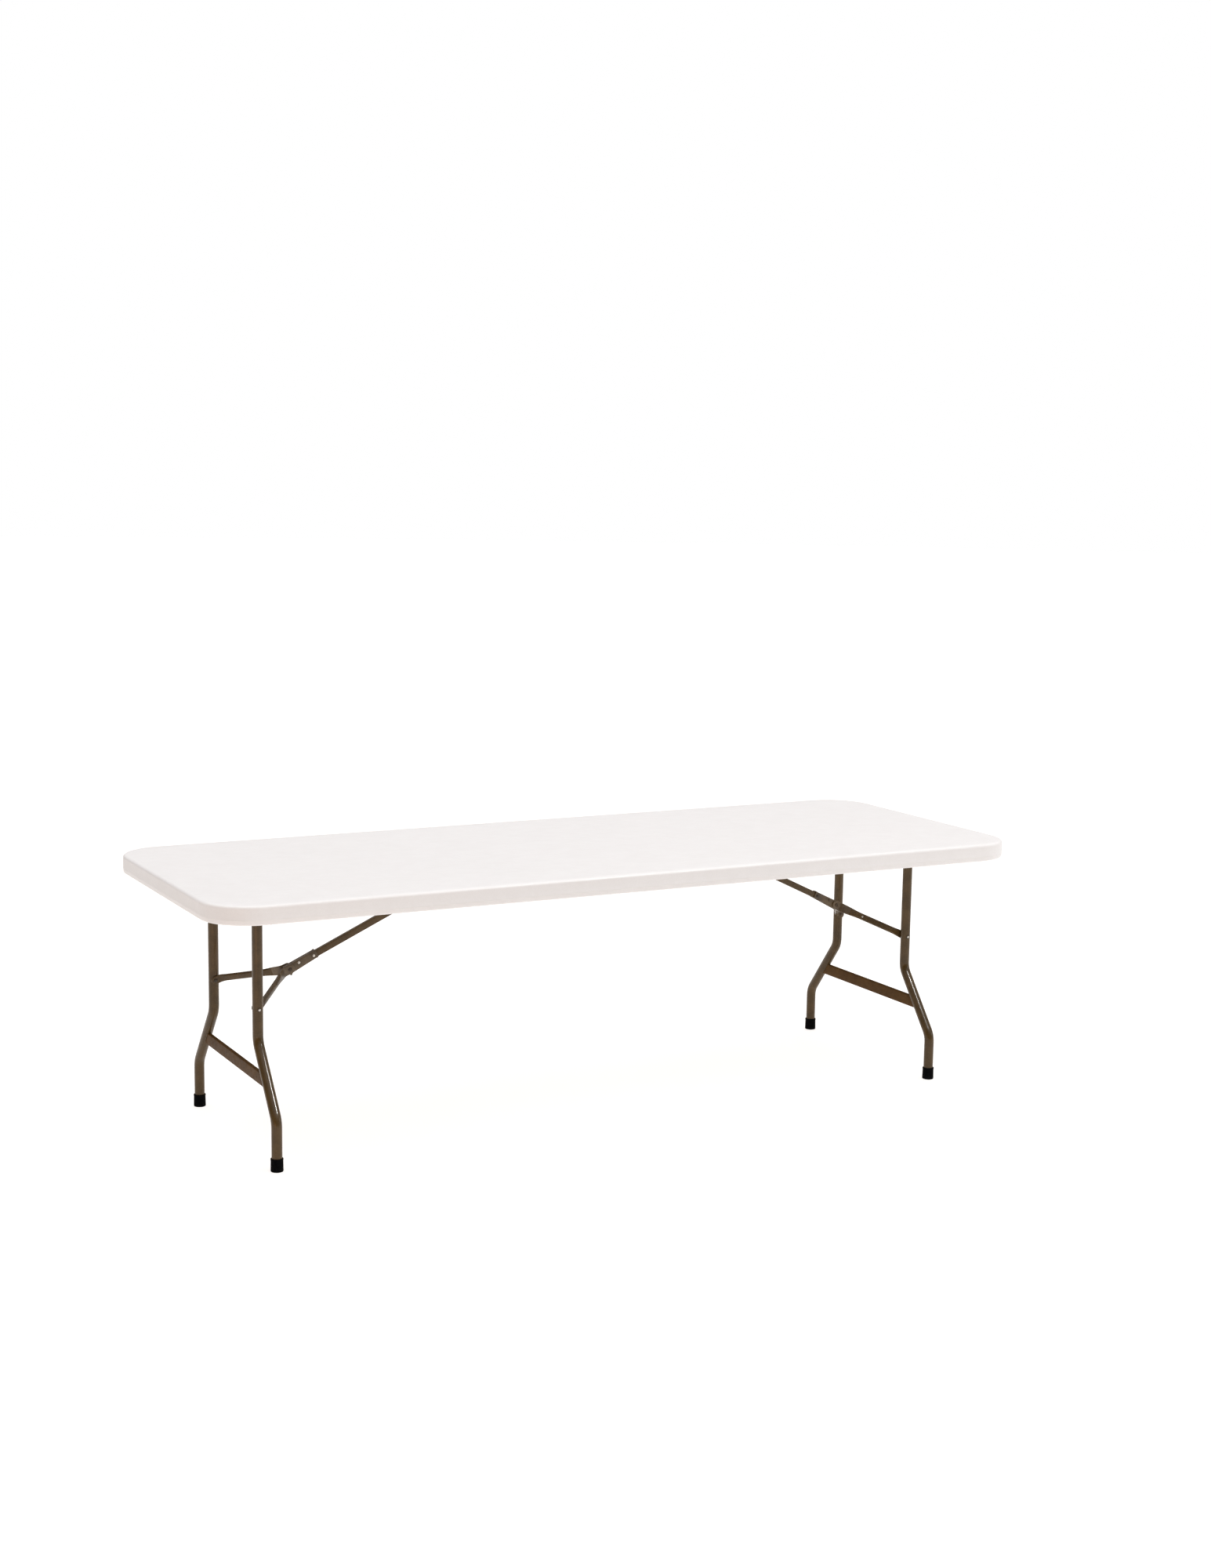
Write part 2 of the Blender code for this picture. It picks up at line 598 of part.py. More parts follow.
def make_brace(side, sign, top_bore):
    leg, hinge, top = brace_points(side)
    arm_frame = link_frame(sign, leg, hinge)
    bar_frame = link_frame(sign, hinge, top)
    hinge_place = (sign * hinge.x, 0, hinge.y)
    bar_end = (top - hinge).length + BAR_OVERRUN
    size = (bar_end - BAR_SETBACK, BAR_WIDTH, BAR_HEIGHT)
    place = ((BAR_SETBACK + bar_end) / 2, 0, 0)
    bar = hollow_box(f"brace_bar_{side}", "frame_paint", size, place, 0, LEG_WALL, bar_frame)
    cut(bar, top_bore)
    channel = make_channel(side, bar_frame)
    hinge_bore = cylinder(f"hinge_bore_{side}", None, PIN_RADIUS + PIN_PLAY, THROUGH, hinge_place, "Y", 16)
    cut(channel, hinge_bore)
    for name, along, up in CHANNEL_RIVETS:
        place = bar_frame @ Vector((along, 0, up))
        name = f"{side}_{name}"
        hole = cylinder(f"rivet_hole_{name}", None, CHANNEL_RIVET_RADIUS + GAP, THROUGH, place, "Y", 12)
        cut(bar, hole)
        cut(channel, hole)
        through_pin(f"channel_rivet_{name}", place, CHANNEL_HALF_WIDTH + GAP, CHANNEL_RIVET_RADIUS, 12)
    leg_holes = bpy.data.objects[f"leg_rivet_holes_{side}"]
    for face, across in FACES.items():
        name = f"{side}_{face}"
        arm = make_arm(f"brace_arm_{name}", arm_frame, across, (hinge - leg).length)
        cut(arm, hinge_bore)
        cut(arm, leg_holes)
        tab_y = LEG_TOP_Y - LEG_RADIUS - 2 * GAP - TAB_THICKNESS
        seat = (sign * LEG_X, across * tab_y, BRACE_LEG_Z[side])
        grip, outward = TAB_THICKNESS, (0, across, 0)
        headed_pin(f"arm_rivet_{name}", "rivet_steel", seat, PIN_RADIUS, grip, ARM_RIVET_HEAD, outward)
    through_pin(f"hinge_pin_{side}", hinge_place, CHANNEL_HALF_WIDTH + 2 * GAP + TAB_THICKNESS)


# Parents on the joint axes


def parent_to_axis(axis_name, place, prefixes):
    empty = bpy.data.objects.new(axis_name, None)
    TABLE.objects.link(empty)
    empty.location = place
    empty.empty_display_size = 0.05
    bpy.context.view_layer.update()
    for obj in TABLE.objects:
        if obj.name.startswith(prefixes) and obj.parent is None:
            obj.parent = empty
            obj.matrix_parent_inverse = empty.matrix_world.inverted()


LEG_PARTS = ("axle_tube_", "leg_tube_", "crossbar_", "foot_cap_", "leg_rivet_", "axle_plug_")
ARM_PARTS = ("brace_arm_", "arm_rivet_", "hinge_pin_")
BAR_PARTS = ("brace_bar_", "hinge_channel_", "channel_rivet_")


def main():
    make_tabletop()
    make_rails()
    for side, sign in SIDES.items():
        make_axle_brackets(side, sign)
        top_bore = make_clevis(side, sign)
        make_leg_frame(side, sign)
        make_brace(side, sign, top_bore)
        hinge_x, hinge_z = BRACE_MIDDLE[side]
        top = (sign * BRACE_TOP_X[side], 0, BRACE_TOP_Z)
        for axis_name, place, parts in (
            ("leg_axis", (sign * LEG_X, 0, AXLE_Z), LEG_PARTS),
            ("arm_axis", (sign * hinge_x, 0, hinge_z), ARM_PARTS),
            ("bar_axis", top, BAR_PARTS),
        ):
            parent_to_axis(f"{axis_name}_{side}", place, tuple(part + side for part in parts))


main()
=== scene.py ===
"""Folding banquet table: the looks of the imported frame. Metres, +Z up, the front at -Y."""

import json
import math

import bmesh
import bpy
from mathutils import Matrix, Vector


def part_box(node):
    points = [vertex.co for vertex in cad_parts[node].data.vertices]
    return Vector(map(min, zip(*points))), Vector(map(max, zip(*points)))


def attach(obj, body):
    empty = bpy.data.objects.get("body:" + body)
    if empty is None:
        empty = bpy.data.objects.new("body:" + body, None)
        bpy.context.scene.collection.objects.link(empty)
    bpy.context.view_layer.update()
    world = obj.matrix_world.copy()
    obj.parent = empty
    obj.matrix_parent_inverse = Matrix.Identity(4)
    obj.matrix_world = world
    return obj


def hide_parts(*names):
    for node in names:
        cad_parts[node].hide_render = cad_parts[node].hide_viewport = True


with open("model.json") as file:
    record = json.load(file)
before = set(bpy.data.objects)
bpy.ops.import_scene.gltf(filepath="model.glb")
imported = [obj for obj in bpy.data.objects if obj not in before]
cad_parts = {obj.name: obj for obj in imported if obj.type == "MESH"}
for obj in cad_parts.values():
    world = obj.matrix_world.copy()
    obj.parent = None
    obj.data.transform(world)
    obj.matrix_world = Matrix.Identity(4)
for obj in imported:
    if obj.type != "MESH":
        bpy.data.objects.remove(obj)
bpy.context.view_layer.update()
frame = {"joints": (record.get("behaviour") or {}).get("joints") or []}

SIDES = {"left": -1, "right": 1}
FACES = {"front": -1, "back": 1}

# Sizes that the frame's boxes don't give
PANEL_THICKNESS = 0.022
CORNER_RADIUS = 0.130
RIM_WIDTH = 0.022
TUBE_WALL = 0.0015
RAIL_CORNER = 0.003
AXLE_RADIUS = 0.01425
LEG_RADIUS = 0.014
UPPER_KINK_Z = 0.308
LOWER_KINK_Z = 0.131
BEND_RADIUS = 0.055
CAP_FLOOR = 0.006
CROSSBAR_CORNER = 0.0032
GAP = 0.0003
PLATE = 0.003
EAR_RADIUS = 0.0192
BUSH_OUTER = 0.0163
BAR_HEIGHT = 0.018
BAR_WIDTH = 0.014
BAR_CORNER = 0.0024
ARM_HALF = (0.0095, 0.0055)
TAB_THICKNESS = 0.0035
LEG_TAB_HALF = 0.011
HINGE_TAB_HALF = 0.013
CHANNEL_WALL = 0.002
CHANNEL_BACK = 0.013
CHANNEL_FRONT = 0.085
CHANNEL_RIVETS = (("lower", 0.030, 0.004), ("upper", 0.075, 0.0))
SADDLE_TOP = 0.6784


def middle(node):
    low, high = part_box(node)
    return (low + high) / 2


JOINT_PLACE = {joint["name"]: Vector(joint["pos_m"]) for joint in frame["joints"]}
LEG_X = JOINT_PLACE["leg_fold_right"].x
AXLE_Z = JOINT_PLACE["leg_fold_right"].z
LEG_TOP_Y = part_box("leg_tube_right_back")[0].y + LEG_RADIUS
LEG_FOOT_Y = middle("foot_cap_right_back").y
# The middle of each brace's three hinges: on the legs, between the arms and the bar, and under the top
LEG_HINGE = {
    side: Vector((sign * LEG_X, 0, middle(f"leg_rivet_{side}_back").z)) for side, sign in SIDES.items()
}
MIDDLE_HINGE = {side: JOINT_PLACE[f"arm_fold_{side}"] for side in SIDES}
TOP_HINGE = {side: JOINT_PLACE[f"bar_fold_{side}"] for side in SIDES}
TABLE = bpy.data.collections.new("table_looks")
bpy.context.scene.collection.children.link(TABLE)

# Materials


def new_material(name, roughness, metallic=0.0, specular=0.5):
    found = bpy.data.materials.new(name)
    found.use_nodes = True
    shader = found.node_tree.nodes["Principled BSDF"]
    shader.inputs["Roughness"].default_value = roughness
    shader.inputs["Metallic"].default_value = metallic
    shader.inputs["Specular IOR Level"].default_value = specular
    return found, found.node_tree, shader


def place_of(tree):
    """Where a point is on the table, in metres, whatever the pose."""
    return tree.nodes.new("ShaderNodeTexCoord").outputs["Object"]


def stretched(tree, source, scale):
    node = tree.nodes.new("ShaderNodeMapping")
    node.inputs["Scale"].default_value = scale
    tree.links.new(source, node.inputs["Vector"])
    return node.outputs["Vector"]


def noise(tree, source, scale, detail=2.0, rough=0.5):
    node = tree.nodes.new("ShaderNodeTexNoise")
    node.inputs["Scale"].default_value = scale
    node.inputs["Detail"].default_value = detail
    node.inputs["Roughness"].default_value = rough
    tree.links.new(source, node.inputs["Vector"])
    return node.outputs["Fac"]


def cells(tree, source, scale):
    node = tree.nodes.new("ShaderNodeTexVoronoi")
    node.inputs["Scale"].default_value = scale
    tree.links.new(source, node.inputs["Vector"])
    return node.outputs["Distance"]


def spread(tree, value, source_range, result_range):
    node = tree.nodes.new("ShaderNodeMapRange")
    node.inputs["From Min"].default_value, node.inputs["From Max"].default_value = source_range
    node.inputs["To Min"].default_value, node.inputs["To Max"].default_value = result_range
    tree.links.new(value, node.inputs["Value"])
    return node.outputs["Result"]


def tint(tree, share, low, high):
    """A colour between two, each (red, green, blue) or another node's output."""
    node = tree.nodes.new("ShaderNodeMix")
    node.data_type = "RGBA"
    tree.links.new(share, node.inputs["Factor"])
    for socket, colour in ((node.inputs[6], low), (node.inputs[7], high)):
        if isinstance(colour, tuple):
            socket.default_value = (*colour, 1)
        else:
            tree.links.new(colour, socket)
    return node.outputs[2]


def product(tree, one, other):
    node = tree.nodes.new("ShaderNodeMath")
    node.operation = "MULTIPLY"
    tree.links.new(one, node.inputs[0])
    tree.links.new(other, node.inputs[1])
    return node.outputs[0]


def bump(tree, shader, heights):
    """Relief from (height output, distance in metres, strength), one on top of another."""
    below = None
    for height, distance, strength in heights:
        node = tree.nodes.new("ShaderNodeBump")
        node.inputs["Strength"].default_value = strength
        node.inputs["Distance"].default_value = distance
        tree.links.new(height, node.inputs["Height"])
        if below:
            tree.links.new(below, node.inputs["Normal"])
        below = node.outputs["Normal"]
    tree.links.new(below, shader.inputs["Normal"])


def plastic_of_the_top():
    """Blow-moulded polyethylene: off-white, faintly mottled, with a pebbled grain and a few scuffs."""
    found, tree, shader = new_material("top_polyethylene", 0.5, specular=0.42)
    here = place_of(tree)
    mottle = spread(tree, noise(tree, here, 23, 4, 0.6), (0.3, 0.7), (0, 1))
    grain = noise(tree, here, 520, 2)
    speck = spread(tree, noise(tree, here, 190, 3), (0.35, 0.7), (0, 0.4))
    base = tint(tree, mottle, (0.776, 0.757, 0.748), (0.800, 0.784, 0.776))
    base = tint(tree, speck, base, (0.756, 0.736, 0.724))
    tree.links.new(base, shader.inputs["Base Color"])
    scuff = noise(tree, stretched(tree, here, (5, 60, 20)), 3.0, 5, 0.7)
    wear = spread(tree, scuff, (0.45, 0.75), (0.44, 0.62))
    tree.links.new(wear, shader.inputs["Roughness"])
    sink = noise(tree, here, 9, 2)
    pebbles = cells(tree, here, 330)
    bump(tree, shader, [(sink, 0.0012, 0.18), (pebbles, 0.00022, 0.28), (grain, 0.00012, 0.35)])
    return found


COAT_ROUGHNESS = 0.13
RUBBED_PAINT = (0.15, 0.105, 0.055)
DUST = (0.020, 0.019, 0.018)


def paint(name, light, dark, roughness, relief, specular=0.1, coat=0.4):
    """Bronze powder coat: a satin film with orange peel, fine flake and slight variation in colour.
    The relief of its orange peel is (scale, distance in metres)."""
    found, tree, shader = new_material(name, roughness, specular=specular)
    here = place_of(tree)
    patch = spread(tree, noise(tree, here, 22, 4, 0.6), (0.32, 0.68), (0, 1))
    flake = spread(tree, noise(tree, here, 1400, 1), (0.56, 0.72), (0, 0.55))
    base = tint(tree, patch, dark, light)
    base = tint(tree, flake, base, tuple(min(1.0, 2.1 * part) for part in light))
    rub = noise(tree, stretched(tree, here, (40, 40, 9)), 2.0, 6, 0.75)
    scratch = spread(tree, rub, (0.66, 0.76), (0, 0.5))
    base = tint(tree, scratch, base, RUBBED_PAINT)
    tree.links.new(base, shader.inputs["Base Color"])
    sheen = spread(tree, noise(tree, here, 70, 3), (0.3, 0.7), (roughness - 0.05, roughness + 0.08))
    tree.links.new(sheen, shader.inputs["Roughness"])
    shader.inputs["Coat Weight"].default_value = coat
    shader.inputs["Coat Roughness"].default_value = COAT_ROUGHNESS
    scale, depth = relief
    peel, dust = noise(tree, here, scale, 2), noise(tree, here, 900, 2)
    bump(tree, shader, [(peel, depth, 0.5), (dust, 0.00005, 0.4)])
    return found


def rubber(name, colour, roughness, dusty):
    """Moulded black plastic with a fine grain, greyed by dust and scuffs towards the floor."""
    found, tree, shader = new_material(name, roughness, specular=0.04)
    here = place_of(tree)
    scuff = spread(tree, noise(tree, here, 120, 5, 0.7), (0.48, 0.72), (0, 1))
    if dusty:
        parts = tree.nodes.new("ShaderNodeSeparateXYZ")
        tree.links.new(here, parts.inputs[0])
        low = spread(tree, parts.outputs["Z"], (0.0, 0.016), (0.6, 0.12))
        scuff = product(tree, scuff, low)
    base = tint(tree, scuff, colour, DUST)
    tree.links.new(base, shader.inputs["Base Color"])
    sheen = spread(tree, noise(tree, here, 300, 2), (0.3, 0.7), (roughness - 0.07, roughness + 0.1))
    tree.links.new(sheen, shader.inputs["Roughness"])
    bump(tree, shader, [(noise(tree, here, 700, 2), 0.0001, 0.4)])
    return found


def zinc():
    """Bright plated steel, lightly brushed, with a duller film in places."""
    found, tree, shader = new_material("plated_steel", 0.28, 1.0)
    here = place_of(tree)
    film = spread(tree, noise(tree, here, 260, 4, 0.7), (0.35, 0.7), (0, 1))
    base = tint(tree, film, (0.72, 0.69, 0.64), (0.40, 0.36, 0.30))
    tree.links.new(base, shader.inputs["Base Color"])
    tree.links.new(spread(tree, film, (0, 1), (0.2, 0.42)), shader.inputs["Roughness"])
    brushed = noise(tree, stretched(tree, here, (1, 1, 9)), 400, 3)
    bump(tree, shader, [(brushed, 0.00006, 0.35)])
    return found


SATIN_PAINT = paint("bronze_powder_coat", (0.084, 0.049, 0.016), (0.050, 0.029, 0.008), 0.38, (260, 0.00012))
FLAT_PAINT = paint(
    "bronze_crossbar_coat", (0.094, 0.046, 0.011), (0.060, 0.028, 0.006), 0.50, (240, 0.00012), 0.05, 0.04
)
ROUGH_PAINT = paint(
    "bronze_hinge_coat", (0.130, 0.086, 0.040), (0.030, 0.017, 0.006), 0.34, (150, 0.0008), 0.4, 0.2
)
HIDDEN_PAINT = paint(
    "bronze_rail_coat", (0.080, 0.047, 0.018), (0.050, 0.029, 0.010), 0.42, (240, 0.00012), 0.1, 0.2
)
PIN_PAINT = paint(
    "bronze_pin_coat", (0.060, 0.036, 0.015), (0.018, 0.010, 0.004), 0.36, (420, 0.0002), 0.3, 0.2
)

# Each finish is a material and the record's slot that it stands for.
FINISHES = {
    "plastic": (plastic_of_the_top(), "top_plastic"),
    "frame": (SATIN_PAINT, "frame_paint"),
    "crossbar": (FLAT_PAINT, "frame_paint"),
    "channel": (ROUGH_PAINT, "frame_paint"),
    "rail": (HIDDEN_PAINT, "rail_paint"),
    "pin": (PIN_PAINT, "rivet_steel"),
    "cap": (rubber("black_foot_plastic", (0.0014, 0.0014, 0.0016), 0.75, True), "foot_rubber"),
    "bush": (rubber("black_bush_plastic", (0.016, 0.016, 0.016), 0.45, False), "bush_plastic"),
    "rivet": (zinc(), "rivet_steel"),
}

# Shapes added to a bmesh


def quads(bm, low, high):
    for step in range(len(low)):
        after = (step + 1) % len(low)
        bm.faces.new((low[step], low[after], high[after], high[step]))


def skin(bm, rings, caps=True):
    """The surface through rings of points, with or without its two ends."""
    rows = [[bm.verts.new(point) for point in ring] for ring in rings]
    for low, high in zip(rows, rows[1:]):
        quads(bm, low, high)
    if caps:
        bm.faces.new(rows[0])
        bm.faces.new(rows[-1])
    return rows


def rings_along(path, across, profiles):
    """A ring of points at each place on the path.
    A profile's u runs along across, and its v is square to that and to the path."""
    rings = []
    for index, centre in enumerate(path):
        along = (path[min(index + 1, len(path) - 1)] - path[max(index - 1, 0)]).normalized()
        lift = along.cross(across)
        profile = profiles[index] if isinstance(profiles[0], list) else profiles
        rings.append([centre + across * u + lift * v for u, v in profile])
    return rings


def hollow(bm, outer, inner):
    """A tube wall between two sets of rings, closed round both ends."""
    outside, inside = skin(bm, outer, False), skin(bm, inner, False)
    for end in (0, -1):
        quads(bm, outside[end], inside[end])


def outline(length, width, radius, height=0.0, arc=14):
    """A rounded rectangle at a height, anticlockwise."""
    points = []
    for quarter, (sx, sy) in enumerate(((1, 1), (-1, 1), (-1, -1), (1, -1))):
        for step in range(arc + 1):
            angle = math.radians(90) * (quarter + step / arc)
            x = sx * (length / 2 - radius) + radius * math.cos(angle)
            y = sy * (width / 2 - radius) + radius * math.sin(angle)
            points.append(Vector((x, y, height)))
    return points


def section(width, height, corner, arc=4):
    return [(point.x, point.y) for point in outline(width, height, corner, arc=arc)]


def circle(radius, steps=32):
    turns = [math.tau * i / steps for i in range(steps)]
    return [(radius * math.cos(turn), radius * math.sin(turn)) for turn in turns]


def rounded_path(corners, radius, steps=12):
    """A path through the corners, each inner corner replaced by an arc."""
    path = [corners[0]]
    for before, corner, after in zip(corners, corners[1:], corners[2:]):
        into, out = (corner - before).normalized(), (after - corner).normalized()
        turn = into.angle(out)
        start = corner - into * radius * math.tan(turn / 2)
        inward = (out - into * into.dot(out)).normalized()
        centre = start + inward * radius
        for step in range(steps + 1):
            angle = turn * step / steps
            path.append(centre + radius * (into * math.sin(angle) - inward * math.cos(angle)))
    path.append(corners[-1])
    return path


def lathe(bm, profile, place, axis, steps=28):
    """A solid of revolution. The profile runs from the axis round to the axis, or is closed if it
    stays off the axis."""
    turn = Vector((0, 0, 1)).rotation_difference(Vector(axis)).to_matrix()
    rows = []
    for radius, height in profile:
        ring = circle(radius, steps) if radius else [(0, 0)]
        rows.append([bm.verts.new(Vector(place) + turn @ Vector((x, y, height))) for x, y in ring])
    pairs = list(zip(rows, rows[1:]))
    if len(rows[0]) > 1:
        pairs.append((rows[-1], rows[0]))
    for low, high in pairs:
        for i in range(steps):
            j = (i + 1) % steps
            corners = [low[i % len(low)], low[j % len(low)], high[j % len(high)], high[i % len(high)]]
            bm.faces.new(dict.fromkeys(corners))


# Half the outline of a domed head, as shares of its radius and its height
DOME = ((0, 1), (0.3, 0.985), (0.55, 0.90), (0.76, 0.72), (0.90, 0.46), (0.975, 0.22), (1, 0.06), (1, 0))


def button(bm, seat, axis, radius, height, sink=0.002, steps=24):
    """A domed head that sits on a face, with a short shank sunk into it."""
    profile = [(radius * r, height * h) for r, h in DOME]
    profile += [(radius * 0.55, 0), (radius * 0.55, -sink), (0, -sink)]
    lathe(bm, profile, seat, axis, steps)


def hex_bolt(bm, seat, axis, flats, height):
    """A hexagon head on a round flange."""
    flange, rise = flats * 0.66, 0.0009
    lathe(bm, [(0, rise), (flange * 0.93, rise), (flange, 0.0004), (flange, 0), (0, 0)], seat, axis, 30)
    corner = flats / 2 / math.cos(math.radians(30))
    head = [(0, height), (corner * 0.84, height), (corner, height - 0.0007), (corner, rise), (0, rise)]
    lathe(bm, head, seat, axis, 6)


def bead(bm, places, radius, ripples):
    """A weld: a closed roll along the places, rippled by its runs."""
    centre = sum(places, Vector()) / len(places)
    rows = []
    for index, place in enumerate(places):
        along = (places[(index + 1) % len(places)] - places[index - 1]).normalized()
        across = along.cross(place - centre).normalized()
        out = across.cross(along)
        swell = radius * (1 + 0.17 * math.sin(math.tau * ripples * index / len(places)))
        rows.append([bm.verts.new(place + across * u + out * v) for u, v in circle(swell, 8)])
    for low, high in zip(rows, rows[1:] + rows[:1]):
        quads(bm, low, high)


def plate(bm, points, depth):
    """A flat plate from its outline and the vector through its thickness."""
    skin(bm, [points, [point + depth for point in points]])


def piece(name, bm, finish, body, nodes=(), sharp=32, bevel=0.0):
    """Makes an object of the bmesh that rides on a body and takes a finish's material, and hides the CAD
    nodes that it stands for.
    """
    bmesh.ops.recalc_face_normals(bm, faces=bm.faces[:])
    mesh = bpy.data.meshes.new(name)
    bm.to_mesh(mesh)
    bm.free()
    look, slot = FINISHES[finish]
    mesh.materials.append(look)
    mesh.shade_smooth()
    if not bevel:
        mesh.set_sharp_from_angle(angle=math.radians(sharp))
    obj = bpy.data.objects.new(name, mesh)
    TABLE.objects.link(obj)
    if bevel:
        rounding = obj.modifiers.new("rounding", "BEVEL")
        rounding.width = bevel
        rounding.segments = 3
        rounding.limit_method = "ANGLE"
        rounding.angle_limit = math.radians(sharp)
        rounding.harden_normals = True
    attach(obj, body)
    if nodes:
        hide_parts(*nodes)
    return obj


def carve(bm, radius, place, length):
    """Takes a round hole along Y out of the bmesh, and returns the bmesh with the hole."""
    objects = []
    cutter = bmesh.new()
    half = length / 2
    lathe(cutter, [(0, -half), (radius, -half), (radius, half), (0, half)], place, (0, 1, 0), 40)
    for part in (bm, cutter):
        bmesh.ops.recalc_face_normals(part, faces=part.faces[:])
        mesh = bpy.data.meshes.new("carving")
        part.to_mesh(mesh)
        part.free()
        objects.append(bpy.data.objects.new("carving", mesh))
        TABLE.objects.link(objects[-1])
    hole = objects[0].modifiers.new("hole", "BOOLEAN")
    hole.object = objects[1]
    hole.solver = "EXACT"
    bpy.context.view_layer.update()
    carved = bmesh.new()
    carved.from_object(objects[0], bpy.context.evaluated_depsgraph_get())
    for obj in objects:
        mesh = obj.data
        bpy.data.objects.remove(obj, do_unlink=True)
        bpy.data.meshes.remove(mesh)
    return carved


# The moulded top

KISS_PITCH = 0.040
KISS_COLUMNS = 56
KISS_ROWS = 19
KISS_STEPS = 12
# The rings of one cup, as (radius, height above the lower skin)
KISS_RINGS = ((0.0135, 0.0), (0.0122, 0.0010), (0.0085, 0.0095))


def kiss_offs(bm, ceiling):
    """The grid of cups in the lower skin, where it is pressed up against the upper one.
    Returns the grid's border edges."""
    start = len(bm.verts)
    for column in range(KISS_COLUMNS):
        for row in range(KISS_ROWS):
            x, y = column - (KISS_COLUMNS - 1) / 2, row - (KISS_ROWS - 1) / 2
            centre = Vector((x * KISS_PITCH, y * KISS_PITCH, ceiling))
            rings = [[], [], [], []]
            for step in range(KISS_STEPS):
                angle = math.radians(45) + math.tau * step / KISS_STEPS
                x, y = math.cos(angle), math.sin(angle)
                rings[0].append(centre + Vector((x, y, 0)) * KISS_PITCH / 2 / max(abs(x), abs(y)))
                for ring, (radius, rise) in zip(rings[1:], KISS_RINGS):
                    ring.append(centre + Vector((radius * x, radius * y, rise)))
            rows = skin(bm, rings, False)
            bm.faces.new(rows[-1])
    bm.verts.ensure_lookup_table()
    bmesh.ops.remove_doubles(bm, verts=bm.verts[start:], dist=0.00001)
    return [edge for edge in bm.edges if edge.is_boundary]


def make_top():
    low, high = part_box("tabletop")
    length, width = high.x - low.x, high.y - low.y
    ceiling = high.z - PANEL_THICKNESS
    # The rim's section as (inset from its face, height), from the top's upper skin round to the lower one
    profile = [
        (0.0600, high.z),
        (0.0150, high.z),
        (0.0100, high.z - 0.0002),
        (0.0074, high.z - 0.0006),
        (0.0052, high.z - 0.0013),
        (0.0034, high.z - 0.0023),
        (0.0020, high.z - 0.0036),
        (0.0010, high.z - 0.0052),
        (0.0004, high.z - 0.0072),
        (0.0002, high.z - 0.0096),
        (0.0002, low.z + 0.0142),
        (0.0000, low.z + 0.0136),
        (0.0000, low.z + 0.0130),
        (0.0003, low.z + 0.0124),
        (0.0006, low.z + 0.0060),
        (0.0014, low.z + 0.0034),
        (0.0030, low.z + 0.0014),
        (0.0050, low.z + 0.0003),
        (0.0075, low.z),
        (RIM_WIDTH - 0.0060, low.z),
        (RIM_WIDTH - 0.0030, low.z + 0.0007),
        (RIM_WIDTH - 0.0010, low.z + 0.0024),
        (RIM_WIDTH - 0.0002, low.z + 0.0050),
        (RIM_WIDTH + 0.0002, ceiling - 0.0045),
        (RIM_WIDTH + 0.0012, ceiling - 0.0020),
        (RIM_WIDTH + 0.0035, ceiling - 0.0005),
        (RIM_WIDTH + 0.0070, ceiling),
    ]
    bm = bmesh.new()
    border = kiss_offs(bm, ceiling)
    rings = [outline(length - 2 * inset, width - 2 * inset, CORNER_RADIUS - inset, z) for inset, z in profile]
    rows = skin(bm, rings, False)
    bm.faces.new(rows[0])
    inner = [bm.edges.get((rows[-1][i], rows[-1][i - 1])) for i in range(len(rows[-1]))]
    bmesh.ops.triangle_fill(bm, use_beauty=True, use_dissolve=False, edges=border + inner)
    piece("moulded_top", bm, "plastic", "top", ["tabletop"], sharp=50)


# The steel under the top


def box_tube(bm, start, end, across, width, height, corner):
    path = [start, end]
    outer = section(width, height, corner)
    inner = section(width - 2 * TUBE_WALL, height - 2 * TUBE_WALL, corner - TUBE_WALL * 0.6)
    hollow(bm, rings_along(path, across, outer), rings_along(path, across, inner))


RAIL_SCREWS_X = (-0.96, -0.62, -0.14, 0.14, 0.62, 0.96)
WASHER = ((0, 0.0008), (0.0062, 0.0008), (0.0066, 0.0004), (0.0066, 0), (0, 0))


def make_rails():
    screws = bmesh.new()
    for face in FACES:
        low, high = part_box(f"side_rail_{face}")
        centre, size = (low + high) / 2, high - low
        bm = bmesh.new()
        ends = [Vector((x, centre.y, centre.z)) for x in (low.x, high.x)]
        box_tube(bm, *ends, Vector((0, 1, 0)), size.y, size.z, RAIL_CORNER)
        piece(f"side_rail_tube_{face}", bm, "rail", "top", [f"side_rail_{face}"])
        for x in RAIL_SCREWS_X:
            seat = Vector((x, centre.y, low.z))
            lathe(screws, WASHER, seat, (0, 0, -1))
            button(screws, seat - Vector((0, 0, WASHER[0][1])), (0, 0, -1), 0.0048, 0.0021)
    piece("rail_screws", screws, "rivet", "top")
    for side in SIDES:
        low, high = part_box(f"cross_rail_{side}")
        centre, size = (low + high) / 2, high - low
        bm = bmesh.new()
        ends = [Vector((centre.x, y, centre.z)) for y in (low.y, high.y)]
        box_tube(bm, *ends, Vector((1, 0, 0)), size.x, size.z, RAIL_CORNER)
        for y in (low.y + 0.0006, high.y - 0.0006):
            rim = outline(size.x, size.z, RAIL_CORNER, arc=6)
            loop = [Vector((centre.x + p.x, y, centre.z + p.y)) for p in rim]
            bead(bm, evened([p for p in loop if p.z < high.z - 0.001], 64), 0.0013, 19)
        piece(f"cross_rail_tube_{side}", bm, "rail", "top", [f"cross_rail_{side}"])


def evened(places, count):
    """The same closed loop with evenly spaced places."""
    loop = places + places[:1]
    lengths = [(b - a).length for a, b in zip(loop, loop[1:])]
    total, found, edge, done = sum(lengths), [], 0, 0.0
    for step in range(count):
        target = total * step / count
        while done + lengths[edge] < target:
            done += lengths[edge]
            edge += 1
        share = (target - done) / lengths[edge]
        found.append(loop[edge].lerp(loop[edge + 1], share))
    return found


